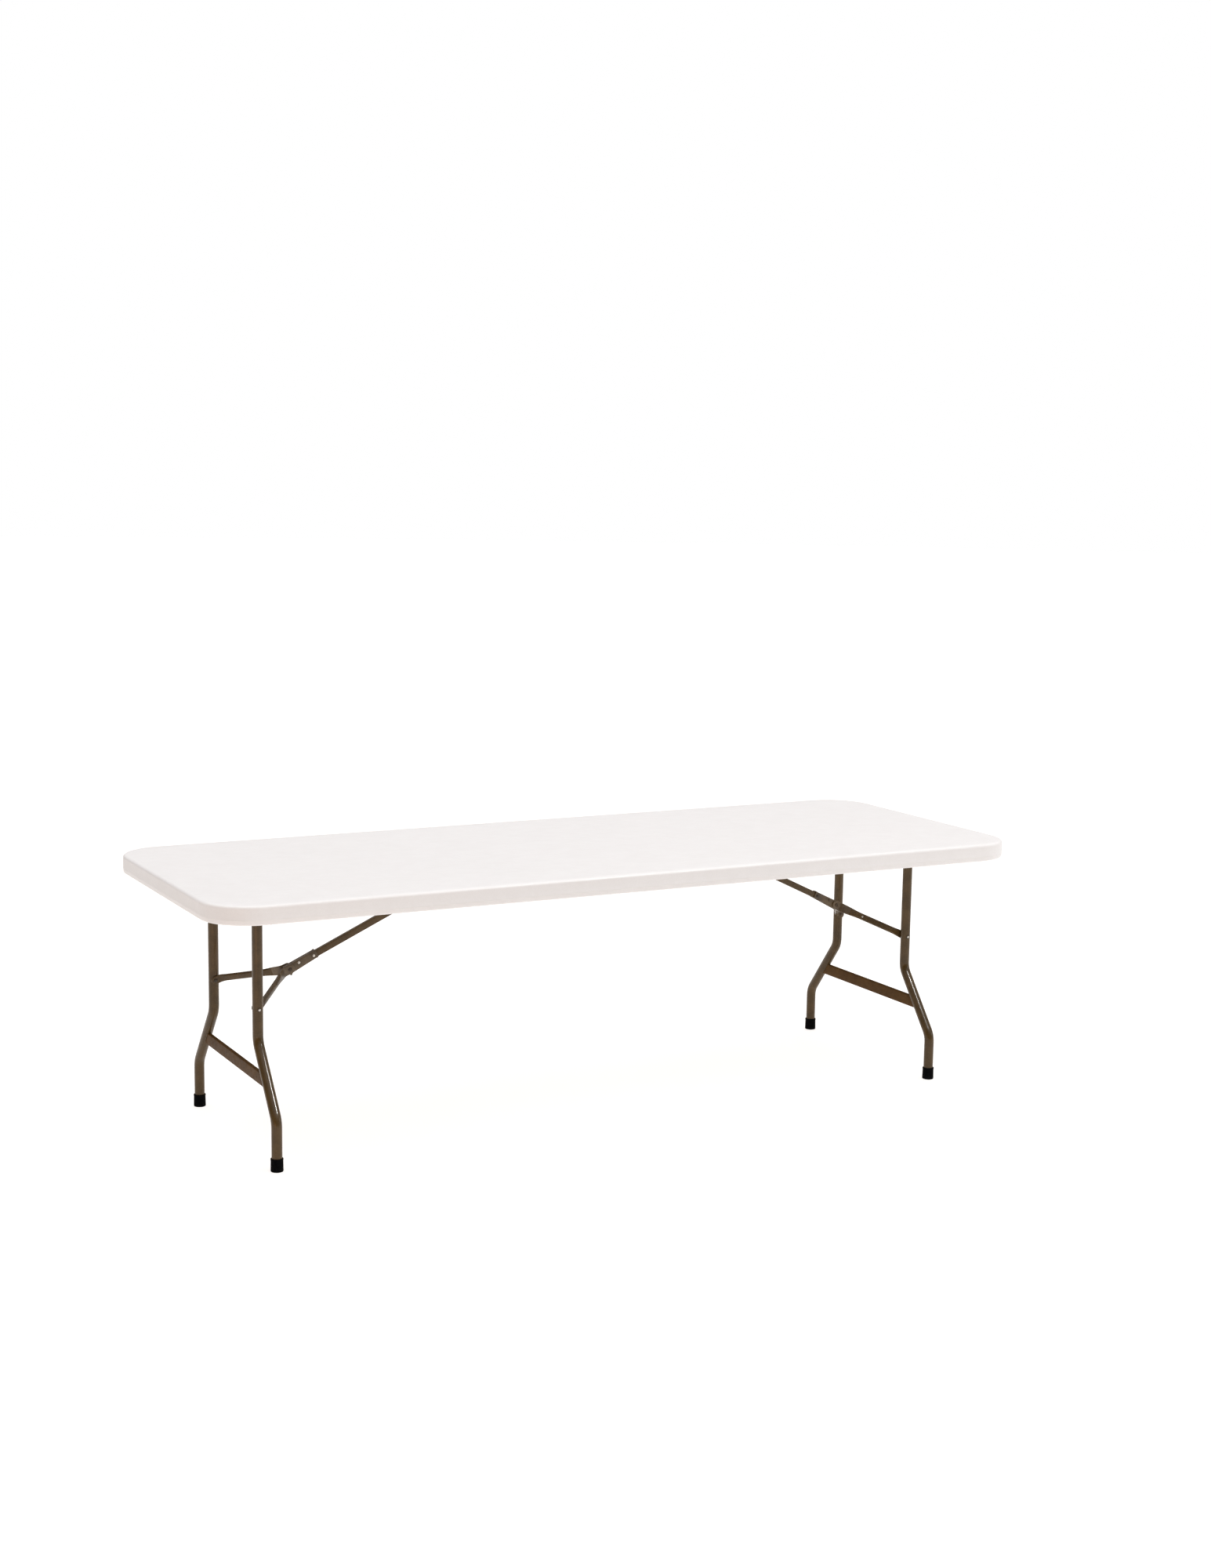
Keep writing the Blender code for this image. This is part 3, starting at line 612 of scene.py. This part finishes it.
def channel_profile(half, top, bottom, wall, bend):
    """An inverted U, as (across, up) points."""
    profile = [(-half, bottom)]
    outside, inside = (bend, half, top, 1), (bend - wall * 0.6, half - wall, top - wall, -1)
    for radius, half_width, ceiling, turn in (outside, inside):
        arcs = []
        for sign in (-1, 1):
            for step in range(5):
                angle = math.radians(90) * step / 4
                angle = angle if sign < 0 else math.radians(90) - angle
                u = sign * (half_width - radius + radius * math.cos(angle))
                arcs.append((u, ceiling - radius + radius * math.sin(angle)))
        profile += arcs[::turn]
        if turn > 0:
            profile += [(half, bottom), (half - wall, bottom)]
    profile.append((-half + wall, bottom))
    return profile


# The bracket's ear runs straight from its corner to its round lobe. Both places are measured from the axle.
EAR_CORNER = (0.030, 0.0204)
EAR_TANGENT = (0.01757, -0.00776)


def ear_depth(offset):
    """How high the foot of the bracket's ear is above the axle, at a distance from it along the table."""
    offset = abs(offset)
    if offset <= EAR_TANGENT[0]:
        return -math.sqrt(EAR_RADIUS**2 - offset**2)
    share = (offset - EAR_TANGENT[0]) / (EAR_CORNER[0] - EAR_TANGENT[0])
    return EAR_TANGENT[1] + share * (EAR_CORNER[1] - EAR_TANGENT[1])


def make_brackets(side, face):
    name = f"{side}_{face}"
    low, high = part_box(f"axle_bracket_{name}")
    centre, size = (low + high) / 2, high - low
    lobe = [EAR_TANGENT[0] * math.sin(math.radians(90) * i / 12) for i in range(-12, 13)]
    offsets = [-EAR_CORNER[0], -0.0240] + lobe + [0.0240, EAR_CORNER[0]]
    path = [Vector((centre.x + offset, centre.y, AXLE_Z)) for offset in offsets]
    rings = []
    for place, offset in zip(path, offsets):
        profile = channel_profile(size.y / 2, SADDLE_TOP - AXLE_Z, ear_depth(offset), PLATE, 0.0036)
        rings.append([place + Vector((0, u, v)) for u, v in profile])
    bm = bmesh.new()
    skin(bm, rings)
    bm = carve(bm, BUSH_OUTER + GAP, Vector((centre.x, centre.y, AXLE_Z)), 0.08)
    piece(f"axle_saddle_{name}", bm, "rail", "top", [f"axle_bracket_{name}"], sharp=40, bevel=0.0005)
    inner, half = AXLE_RADIUS + 0.00025, size.y / 2 + 0.001
    flange = BUSH_OUTER + 0.0028
    bush = [(inner, -half), (flange - 0.0004, -half), (flange, -half + 0.0003), (flange, -half + 0.0007)]
    bush += [(BUSH_OUTER, -half + 0.0007), (BUSH_OUTER, half - 0.0003)]
    bush += [(BUSH_OUTER - 0.0004, half), (inner, half)]
    bm = bmesh.new()
    lathe(bm, bush, Vector((centre.x, centre.y, AXLE_Z)), (0, FACES[face], 0), 40)
    piece(f"axle_sleeve_{name}", bm, "bush", "top", [f"axle_bush_{name}"])
    bm = bmesh.new()
    for offset in (-0.022, 0.022):
        hex_bolt(bm, Vector((centre.x + offset, centre.y, SADDLE_TOP - PLATE)), (0, 0, -1), 0.0095, 0.0038)
    piece(f"saddle_bolts_{name}", bm, "rivet", "top")


TOP_PIN_HEAD = (0.0057, 0.0022)


def make_clevis(side, sign):
    """The fork on the cross rail, with two round-ended cheeks, and the pin through it."""
    low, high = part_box(f"brace_clevis_{side}")
    hinge = TOP_HINGE[side]
    back = low.x if sign > 0 else high.x
    half = (high.z - low.z) / 2
    bm = bmesh.new()
    reach = abs(hinge.x - back)
    rim = [(0, -half), (reach, -half)]
    turns = [math.radians(angle) for angle in range(15, 180, 15)]
    rim += [(reach + half * math.sin(turn), -half * math.cos(turn)) for turn in turns]
    rim += [(reach, half), (0, half)]
    limit = abs((high.x if sign > 0 else low.x) - back)
    for face in (low.y, high.y - PLATE):
        points = [Vector((back + sign * min(x, limit), face, hinge.z + z)) for x, z in rim]
        plate(bm, points, Vector((0, PLATE, 0)))
    corners = ((low.y, low.z), (high.y, low.z), (high.y, high.z), (low.y, high.z))
    wall = [Vector((back, y, z)) for y, z in corners]
    plate(bm, wall, Vector((sign * PLATE, 0, 0)))
    piece(f"brace_fork_{side}", bm, "rail", "top", [f"brace_clevis_{side}"], sharp=40, bevel=0.0005)
    outer = high.y + GAP
    make_pin(f"brace_top_rivet_{side}", hinge, outer, "top", f"brace_top_pin_{side}", TOP_PIN_HEAD, "pin")


def make_pin(name, place, outer, body, node, head, finish):
    """A rivet along Y with a domed head, (radius, height), at each end and its shank between them."""
    bm = bmesh.new()
    for sign in (-1, 1):
        button(bm, place + Vector((0, sign * outer, 0)), (0, sign, 0), *head, sink=outer)
    piece(name, bm, finish, body, [node])


# The leg frames

# The rivet's dark collar: its ring round the bright head is painted shade, for the dimple that the rivet sits
# in.
LEG_SHADE_COLLAR = (0.0062, 0.0011)
LEG_HEAD = (0.0034, 0.0013)
AXLE_WELD = 0.0019
CROSSBAR_WELD = 0.0016


def saddle(ring, centre_x, centre_z, radius):
    """The ring's points dropped on to the underside of the axle tube."""
    found = []
    for point in ring:
        offset = min(abs(point.x - centre_x), radius * 0.999)
        found.append(Vector((point.x, point.y, centre_z - math.sqrt(radius**2 - offset**2))))
    return found


def make_leg_frame(side, sign):
    body = f"leg_{side}"
    x = sign * LEG_X
    across = Vector((1, 0, 0))
    low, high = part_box(f"axle_tube_{side}")
    bm = bmesh.new()
    path = [Vector((x, y, AXLE_Z)) for y in (low.y, high.y)]
    radii = (AXLE_RADIUS, AXLE_RADIUS - TUBE_WALL)
    walls = [rings_along(path, across, circle(radius, 40)) for radius in radii]
    hollow(bm, *walls)
    piece(f"axle_{side}", bm, "frame", body, [f"axle_tube_{side}"])

    low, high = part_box(f"crossbar_{side}")
    centre, size = (low + high) / 2, high - low
    splay, drop = LEG_FOOT_Y - LEG_TOP_Y, UPPER_KINK_Z - LOWER_KINK_Z
    bar_end = LEG_TOP_Y + (UPPER_KINK_Z - centre.z) / drop * splay
    slant = Vector((0, splay, -drop)).normalized()
    bm = bmesh.new()
    path = [Vector((x, y, centre.z)) for y in (-bar_end, bar_end)]
    box_tube(bm, *path, across, size.x, size.z, CROSSBAR_CORNER)
    piece(f"crossbar_tube_{side}", bm, "crossbar", body, [f"crossbar_{side}"])

    welds = bmesh.new()
    for face, turn in FACES.items():
        name = f"{side}_{face}"
        corners = ((LEG_TOP_Y, AXLE_Z - 0.004), (LEG_TOP_Y, UPPER_KINK_Z))
        corners += ((LEG_FOOT_Y, LOWER_KINK_Z), (LEG_FOOT_Y, CAP_FLOOR + GAP))
        path = rounded_path([Vector((x, turn * y, z)) for y, z in corners], BEND_RADIUS)
        path.insert(1, Vector((x, turn * LEG_TOP_Y, AXLE_Z - 0.022)))
        bm = bmesh.new()
        walls = []
        for radius in (LEG_RADIUS, LEG_RADIUS - TUBE_WALL):
            rings = rings_along(path, across, circle(radius, 36))
            rings[0] = saddle(rings[0], x, AXLE_Z, AXLE_RADIUS - 0.0004)
            walls.append(rings)
        hollow(bm, *walls)
        piece(f"leg_{name}", bm, "frame", body, [f"leg_tube_{name}"])

        joint = [Vector((x + u, turn * LEG_TOP_Y + v, 0)) for u, v in circle(LEG_RADIUS + 0.0004, 72)]
        seam = [p + Vector((0, 0, 0.0008)) for p in saddle(joint, x, AXLE_Z, AXLE_RADIUS)]
        bead(welds, seam, AXLE_WELD, 17)
        loop = []
        for p in outline(size.x, size.z, CROSSBAR_CORNER, arc=6):
            reach = math.sqrt(LEG_RADIUS**2 - p.x**2)
            y = bar_end - (reach - p.y * slant.y) / abs(slant.z) - 2 * p.y * slant.y / abs(slant.z)
            loop.append(Vector((x + p.x, turn * y, centre.z + p.y)))
        bead(welds, evened(loop, 84), CROSSBAR_WELD, 21)

        make_foot_cap(name, body, Vector((x, turn * LEG_FOOT_Y, 0)))
        # Under the bright head go the rivet's shank and a dark collar. The collar's ring round the head is
        # painted shade, for the dimple that the rivet sits in.
        bm = bmesh.new()
        seat = LEG_HINGE[side] + Vector((0, turn * (LEG_TOP_Y + LEG_RADIUS), 0))
        button(bm, seat, (0, turn, 0), *LEG_SHADE_COLLAR, sink=0.026)
        piece(f"leg_rivet_shade_collar_{name}", bm, "pin", body, [f"leg_rivet_{name}"])
        bm = bmesh.new()
        button(bm, seat + Vector((0, turn * 0.0006, 0)), (0, turn, 0), *LEG_HEAD, sink=0.0005)
        piece(f"leg_rivet_head_{name}", bm, "rivet", body)
        bm = bmesh.new()
        seat = Vector((x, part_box(f"axle_tube_{side}")[0 if turn < 0 else 1].y + turn * GAP, AXLE_Z))
        button(bm, seat, (0, turn, 0), AXLE_RADIUS + 0.002, 0.0025, 0.015, 36)
        piece(f"axle_cap_{name}", bm, "bush", body, [f"axle_plug_{name}"])
    piece(f"leg_welds_{side}", welds, "frame", body, sharp=60)


def make_foot_cap(name, body, place):
    """A moulded cup with a lip round its mouth and a hollow in its sole."""
    low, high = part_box(f"foot_cap_{name}")
    outer, top = (high.x - low.x) / 2, high.z
    bore = LEG_RADIUS + GAP
    profile = [
        (0, 0.0011),
        (outer - 0.0056, 0.0011),
        (outer - 0.0048, 0.0002),
        (outer - 0.0042, 0),
        (outer - 0.0020, 0),
        (outer - 0.0008, 0.0004),
        (outer - 0.0001, 0.0014),
        (outer, 0.0030),
        (outer - 0.0005, top - 0.0062),
        (outer - 0.0004, top - 0.0054),
        (outer, top - 0.0046),
        (outer, top - 0.0016),
        (outer - 0.0004, top - 0.0005),
        (outer - 0.0010, top),
        (bore + 0.0004, top),
        (bore, top - 0.0004),
        (bore, CAP_FLOOR),
        (0, CAP_FLOOR),
    ]
    bm = bmesh.new()
    lathe(bm, profile, place, (0, 0, 1), 40)
    piece(f"foot_{name}", bm, "cap", body, [f"foot_cap_{name}"], sharp=40)


# The folding brace


def link_frame(start, end):
    """A frame at the start of a link: X runs along it, Y across the table, and Z is square to both."""
    along = (end - start).normalized()
    up = (Vector((0, 0, 1)) - along * along.z).normalized()
    found = Matrix((along, up.cross(along), up)).transposed().to_4x4()
    found.translation = start
    return found


def smooth_between(keys, x):
    """The value at x, eased between (x, value) keys."""
    if x <= keys[0][0]:
        return keys[0][1]
    for (x0, v0), (x1, v1) in zip(keys, keys[1:]):
        if x <= x1:
            share = (x - x0) / (x1 - x0)
            share = share * share * (3 - 2 * share)
            return v0 + (v1 - v0) * share
    return keys[-1][1]


def ramp(x, start, end, ease):
    """A line from 0 at start to 1 at end, with a curve of that half length at each end."""
    slope = 1 / (end - start)
    if x < start - ease:
        return 0.0
    if x < start + ease:
        return slope * (x - start + ease) ** 2 / (4 * ease)
    if x < end - ease:
        return slope * (x - start)
    if x < end + ease:
        return 1 - slope * (end + ease - x) ** 2 / (4 * ease)
    return 1.0


KNUCKLE_REACH = 0.046
STUD_SHARE = 0.58
STUD = (0.0028, 0.0013)
ARM_HEAD = (0.0052, 0.0022)
CHANNEL_HEAD = (0.0040, 0.0022)
MIDDLE_PIN_HEAD = (0.0057, 0.0020)
# The dimples in the channel's cheeks, as (along, up) from the first one's place
DIMPLES = ((0.0, 0.0062), (0.0040, 0.0056), (0.0080, 0.0050))
# Folded, the right arms lie over the first 30 mm of their channel, so its dimples sit farther along.
DIMPLE_START = {"left": 0.0155, "right": 0.0345}
# The outline of the catch below the left channel, as (along, up) from the hinge
CATCH = (
    (-0.006, -0.0090),
    (0.022, -0.0080),
    (0.022, -0.0095),
    (0.004, -0.0150),
    (-0.001, -0.0195),
    (-0.0035, -0.0190),
)
CATCH_WIDTH = 0.011


def rounded_box(half_height, half_depth, square, steps=24):
    """A ring between an oval (square = 1) and a box (square = 0)."""
    points = []
    for step in range(steps):
        angle = math.tau * (step + 0.5) / steps
        c, s = math.cos(angle), math.sin(angle)
        up = math.copysign(abs(s) ** square, s) * half_height
        points.append((up, math.copysign(abs(c) ** square, c) * half_depth))
    return points


def make_arm(name, frame_of_arm, length, turn, body, node):
    """An oval tube pressed flat at both ends into tabs with rounded tips."""
    flat = TAB_THICKNESS / 2
    leg_y = LEG_TOP_Y - LEG_RADIUS - GAP - flat
    hinge_y = BAR_WIDTH / 2 + CHANNEL_WALL + 2 * GAP + flat
    tall, deep = ARM_HALF
    bends = 0.0165, length - 0.0185
    heights = [(0.009, LEG_TAB_HALF), (0.031, tall), (length - 0.062, tall), (length - 0.022, HINGE_TAB_HALF)]
    depths = [(0.011, flat), (0.034, deep), (length - 0.058, deep), (length - 0.021, flat)]
    quarter = [math.radians(90 * step / 8) for step in range(9)]
    leg_tip = [(-math.cos(angle), max(math.sin(angle), 0.06)) for angle in quarter]
    hinge_tip = [(math.sin(angle), max(math.cos(angle), 0.06)) for angle in quarter]
    between = [length * step / 40 for step in range(1, 40)]
    stations = [(LEG_TAB_HALF * along, LEG_TAB_HALF * up) for along, up in leg_tip]
    stations += [(x, smooth_between(heights, x)) for x in between]
    stations += [(length + HINGE_TAB_HALF * along, HINGE_TAB_HALF * up) for along, up in hinge_tip]
    path, profiles = [], []
    for x, half_height in stations:
        half_depth = smooth_between(depths, x)
        if x < 0 or x > length:
            half_depth = flat
        square = smooth_between([(flat * 1.05, 0.42), (deep * 0.9, 0.85)], half_depth)
        path.append(Vector((x, leg_y + ramp(x, *bends, 0.007) * (hinge_y - leg_y), 0)))
        profiles.append(rounded_box(half_height, half_depth, square))
    place = frame_of_arm @ Matrix.Diagonal((1, turn, 1, 1))
    rings = [[place @ point for point in ring] for ring in rings_along(path, Vector((0, 0, 1)), profiles)]
    bm = bmesh.new()
    skin(bm, rings)
    arm = piece(name, bm, "frame", body, [node], sharp=42)
    arm.data.materials.append(FINISHES["channel"][0])
    hinge_end = place @ Vector((length, hinge_y, 0))
    for polygon in arm.data.polygons:
        polygon.material_index = int((polygon.center - hinge_end).length < KNUCKLE_REACH)
    along = Vector((bends[1] - bends[0], hinge_y - leg_y, 0)).normalized()
    out = Vector((-along.y, along.x, 0))
    share = (STUD_SHARE * length - bends[0]) / (bends[1] - bends[0])
    stud = Vector((STUD_SHARE * length, leg_y + share * (hinge_y - leg_y), 0)) + out * deep
    bm = bmesh.new()
    button(bm, place @ stud, place.to_3x3() @ out, *STUD, sink=0.002, steps=16)
    piece(f"{name}_stud", bm, "rivet" if "right" in name else "pin", body)


def make_hinge_channel(side, body, bar_frame):
    """The pressed channel round the foot of the bar: flared at its mouth, deeper and rounded at the hinge."""
    half = BAR_WIDTH / 2 + GAP + CHANNEL_WALL
    top = BAR_HEIGHT / 2 + GAP + CHANNEL_WALL
    length = CHANNEL_FRONT + CHANNEL_BACK
    offsets = [-CHANNEL_BACK + 0.008 * (1 - math.cos(math.radians(90) * i / 6)) for i in range(7)]
    offsets += [0.004, 0.014, 0.026, 0.040, 0.055, 0.070, 0.0785, 0.0805, 0.0825, CHANNEL_FRONT]
    rings = []
    for x in offsets:
        bottom = -0.014 + 0.005 * (x + CHANNEL_BACK) / length
        into = max(0.0, 1 - (x + CHANNEL_BACK) / 0.008)
        bottom += 0.006 * (1 - math.sqrt(max(0.0, 1 - into**2)))
        flare = 0.0007 * smooth_between([(0.0785, 0), (0.0825, 1)], x)
        # The corner at the mouth of the channel is pressed out a little round the bar.
        profile = channel_profile(half + flare, top + flare, bottom - flare, CHANNEL_WALL, 0.003)
        rings.append([bar_frame @ Vector((x, u, v)) for u, v in profile])
    bm = bmesh.new()
    skin(bm, rings)
    for turn in (-1, 1):
        for x, up in DIMPLES:
            seat = bar_frame @ Vector((DIMPLE_START[side] + x, turn * half, up))
            button(bm, seat, (0, turn, 0), 0.0012, 0.0007, 0.001, 12)
    piece(f"brace_channel_{side}", bm, "channel", body, [f"hinge_channel_{side}"], sharp=40)
    if side == "left":
        bm = bmesh.new()
        near = [bar_frame @ Vector((x, -CATCH_WIDTH / 2, z)) for x, z in CATCH]
        plate(bm, near, Vector((0, CATCH_WIDTH, 0)))
        piece(f"brace_catch_{side}", bm, "channel", body, sharp=40, bevel=0.0005)


def make_brace(side):
    bar_body, arm_body = f"bar_{side}", f"arms_{side}"
    leg_hinge, hinge, top_hinge = LEG_HINGE[side], MIDDLE_HINGE[side], TOP_HINGE[side]
    arm_frame = link_frame(leg_hinge, hinge)
    bar_frame = link_frame(hinge, top_hinge)
    bar_length = (top_hinge - hinge).length
    bm = bmesh.new()
    ends = [bar_frame @ Vector((x, 0, 0)) for x in (0.018, bar_length + 0.0075)]
    box_tube(bm, *ends, Vector((0, 1, 0)), BAR_WIDTH, BAR_HEIGHT, BAR_CORNER)
    piece(f"brace_tube_{side}", bm, "frame", bar_body, [f"brace_bar_{side}"])
    make_hinge_channel(side, bar_body, bar_frame)
    channel_half = BAR_WIDTH / 2 + GAP + CHANNEL_WALL
    for name, along, up in CHANNEL_RIVETS:
        node = f"channel_rivet_{side}_{name}"
        finish = "rivet" if side == "left" else "pin"
        seat = bar_frame @ Vector((along, 0, up))
        make_pin(f"brace_rivet_{side}_{name}", seat, channel_half, bar_body, node, CHANNEL_HEAD, finish)
    for face, turn in FACES.items():
        name = f"{side}_{face}"
        make_arm(f"arm_{name}", arm_frame, (hinge - leg_hinge).length, turn, arm_body, f"brace_arm_{name}")
        bm = bmesh.new()
        tab_y = LEG_TOP_Y - LEG_RADIUS - 2 * GAP - TAB_THICKNESS
        seat = leg_hinge + Vector((0, turn * tab_y, 0))
        button(bm, seat, (0, -turn, 0), *ARM_HEAD, sink=0.0036)
        piece(f"arm_rivet_head_{name}", bm, "pin", arm_body, [f"arm_rivet_{name}"])
    tab_outer = BAR_WIDTH / 2 + CHANNEL_WALL + 2 * GAP + TAB_THICKNESS
    node = f"hinge_pin_{side}"
    make_pin(f"middle_hinge_pin_{side}", hinge, tab_outer, arm_body, node, MIDDLE_PIN_HEAD, "pin")


make_top()
make_rails()
for side, sign in SIDES.items():
    for face in FACES:
        make_brackets(side, face)
    make_clevis(side, sign)
    make_leg_frame(side, sign)
    make_brace(side)

# The floor, the light and the camera

FLOOR_RADIUS = 40.0
FLOOR_GLOW = (1.0, 0.975, 0.955, 1)
FLOOR_GLOW_STRENGTH = 0.80


def make_floor():
    bm = bmesh.new()
    bmesh.ops.create_circle(bm, cap_ends=True, segments=96, radius=FLOOR_RADIUS)
    mesh = bpy.data.meshes.new("studio_floor")
    bm.to_mesh(mesh)
    bm.free()
    floor = bpy.data.objects.new("studio_floor", mesh)
    floor.location.z = -0.0002
    bpy.context.scene.collection.objects.link(floor)
    found, tree, shader = new_material("pale_floor", 0.7, specular=0.2)
    tone = noise(tree, place_of(tree), 0.6, 2)
    base = tint(tree, spread(tree, tone, (0.3, 0.7), (0, 1)), (0.35, 0.335, 0.325), (0.38, 0.365, 0.355))
    tree.links.new(base, shader.inputs["Base Color"])
    # A faint glow of its own keeps the floor white under the table, as the photograph's plain ground is.
    shader.inputs["Emission Color"].default_value = FLOOR_GLOW
    shader.inputs["Emission Strength"].default_value = FLOOR_GLOW_STRENGTH
    mesh.materials.append(found)


def toward(tree, direction, source_range):
    """How closely a world direction points one way, spread from 0 to 1 over a range of the cosine."""
    node = tree.nodes.new("ShaderNodeVectorMath")
    node.operation = "DOT_PRODUCT"
    tree.links.new(tree.nodes.new("ShaderNodeTexCoord").outputs["Generated"], node.inputs[0])
    node.inputs[1].default_value = Vector(direction).normalized()
    return spread(tree, node.outputs["Value"], source_range, (0, 1))


def make_world():
    """A soft sky, bright overhead and warm and dim low on the left, with plain white behind the table."""
    world = bpy.data.worlds.new("studio")
    bpy.context.scene.world = world
    world.use_nodes = True
    tree = world.node_tree
    background = tree.nodes["Background"]
    sky = tint(tree, toward(tree, (0, 0, 1), (0.30, 1.0)), (0.08, 0.055, 0.045), (1.85, 1.86, 1.88))
    sky = tint(tree, toward(tree, (1.0, -0.35, 0.15), (0.55, 1.0)), sky, (0.60, 0.60, 0.605))
    sky = tint(tree, toward(tree, (-0.78, -0.62, 0.05), (0.55, 0.95)), sky, (0.10, 0.04, 0.012))
    seen = tree.nodes.new("ShaderNodeLightPath").outputs["Is Camera Ray"]
    tree.links.new(tint(tree, seen, sky, (1.0, 1.0, 1.0)), background.inputs["Color"])
    background.inputs["Strength"].default_value = 1.0


def add_lamp(name, kind, energy, colour, direction, place=(0, 0, 0)):
    """A lamp that shines back along a direction, from a place if it isn't a sun."""
    lamp = bpy.data.lights.new(name, kind)
    lamp.energy = energy
    lamp.color = colour
    obj = bpy.data.objects.new(name, lamp)
    obj.location = place
    obj.rotation_euler = Vector(direction).to_track_quat("Z", "Y").to_euler()
    bpy.context.scene.collection.objects.link(obj)
    return obj


def add_sun(name, direction, strength, angle, colour):
    obj = add_lamp(name, "SUN", strength, colour, direction)
    obj.data.angle = math.radians(angle)
    return obj


def add_softbox(name, place, target, size, power, colour):
    obj = add_lamp(name, "AREA", power, colour, Vector(place) - Vector(target), place)
    obj.data.shape = "RECTANGLE"
    obj.data.size, obj.data.size_y = size
    return obj


CAMERA_PLACE = (-2.8756, -5.5673, 1.8311)
CAMERA_YAW = 27.83
CAMERA_PITCH = 8.82
CAMERA_ROLL = 0.8165
CAMERA_LENS = 51.285
CAMERA_SHIFT = (0.00476, 0.00955)


def make_camera():
    camera = bpy.data.cameras.new("camera")
    camera.lens = CAMERA_LENS
    camera.shift_x, camera.shift_y = CAMERA_SHIFT
    yaw, pitch, roll = map(math.radians, (CAMERA_YAW, CAMERA_PITCH, CAMERA_ROLL))
    ahead = Vector((math.sin(yaw) * math.cos(pitch), math.cos(yaw) * math.cos(pitch), -math.sin(pitch)))
    level = Vector((math.cos(yaw), -math.sin(yaw), 0))
    upright = level.cross(ahead)
    right = level * math.cos(roll) + upright * math.sin(roll)
    up = upright * math.cos(roll) - level * math.sin(roll)
    obj = bpy.data.objects.new("camera", camera)
    obj.matrix_world = Matrix.Translation(CAMERA_PLACE) @ Matrix((right, up, -ahead)).transposed().to_4x4()
    bpy.context.scene.collection.objects.link(obj)
    bpy.context.scene.camera = obj


make_floor()
make_world()
MIDDLE_OF_THE_LEGS = (0, -0.2, 0.35)
RIGHT_OF_THE_RIM = (0.9, -0.46, 0.7)
LEFT_CORNER = (-1.15, -0.4, 0.68)
WHITE, WARM = (1.0, 0.99, 0.98), (1.0, 0.48, 0.18)
add_sun("top_light", (0.12, 0.02, 1.0), 0.74, 30, (1.0, 0.985, 0.98))
add_softbox("key_box", (1.34, -2.2, 3.33), MIDDLE_OF_THE_LEGS, (0.7, 0.7), 10.0, WHITE)
# The streak down the slanted part of each front leg is this box's reflection.
glint_place, glint_colour = (1.34, -2.2, 3.34), (1.0, 0.99, 0.97)
glint = add_softbox("glint_box", glint_place, MIDDLE_OF_THE_LEGS, (0.42, 0.42), 100.0, glint_colour)
glint.visible_diffuse = False
add_softbox("right_front_box", (3.4, -2.2, 1.3), RIGHT_OF_THE_RIM, (1.2, 0.8), 10.0, WHITE)
add_softbox("warm_bounce", (-2.6, -1.9, 0.25), LEFT_CORNER, (0.9, 0.5), 3.6, WARM)
make_camera()
bpy.context.scene.view_settings.view_transform = "Standard"
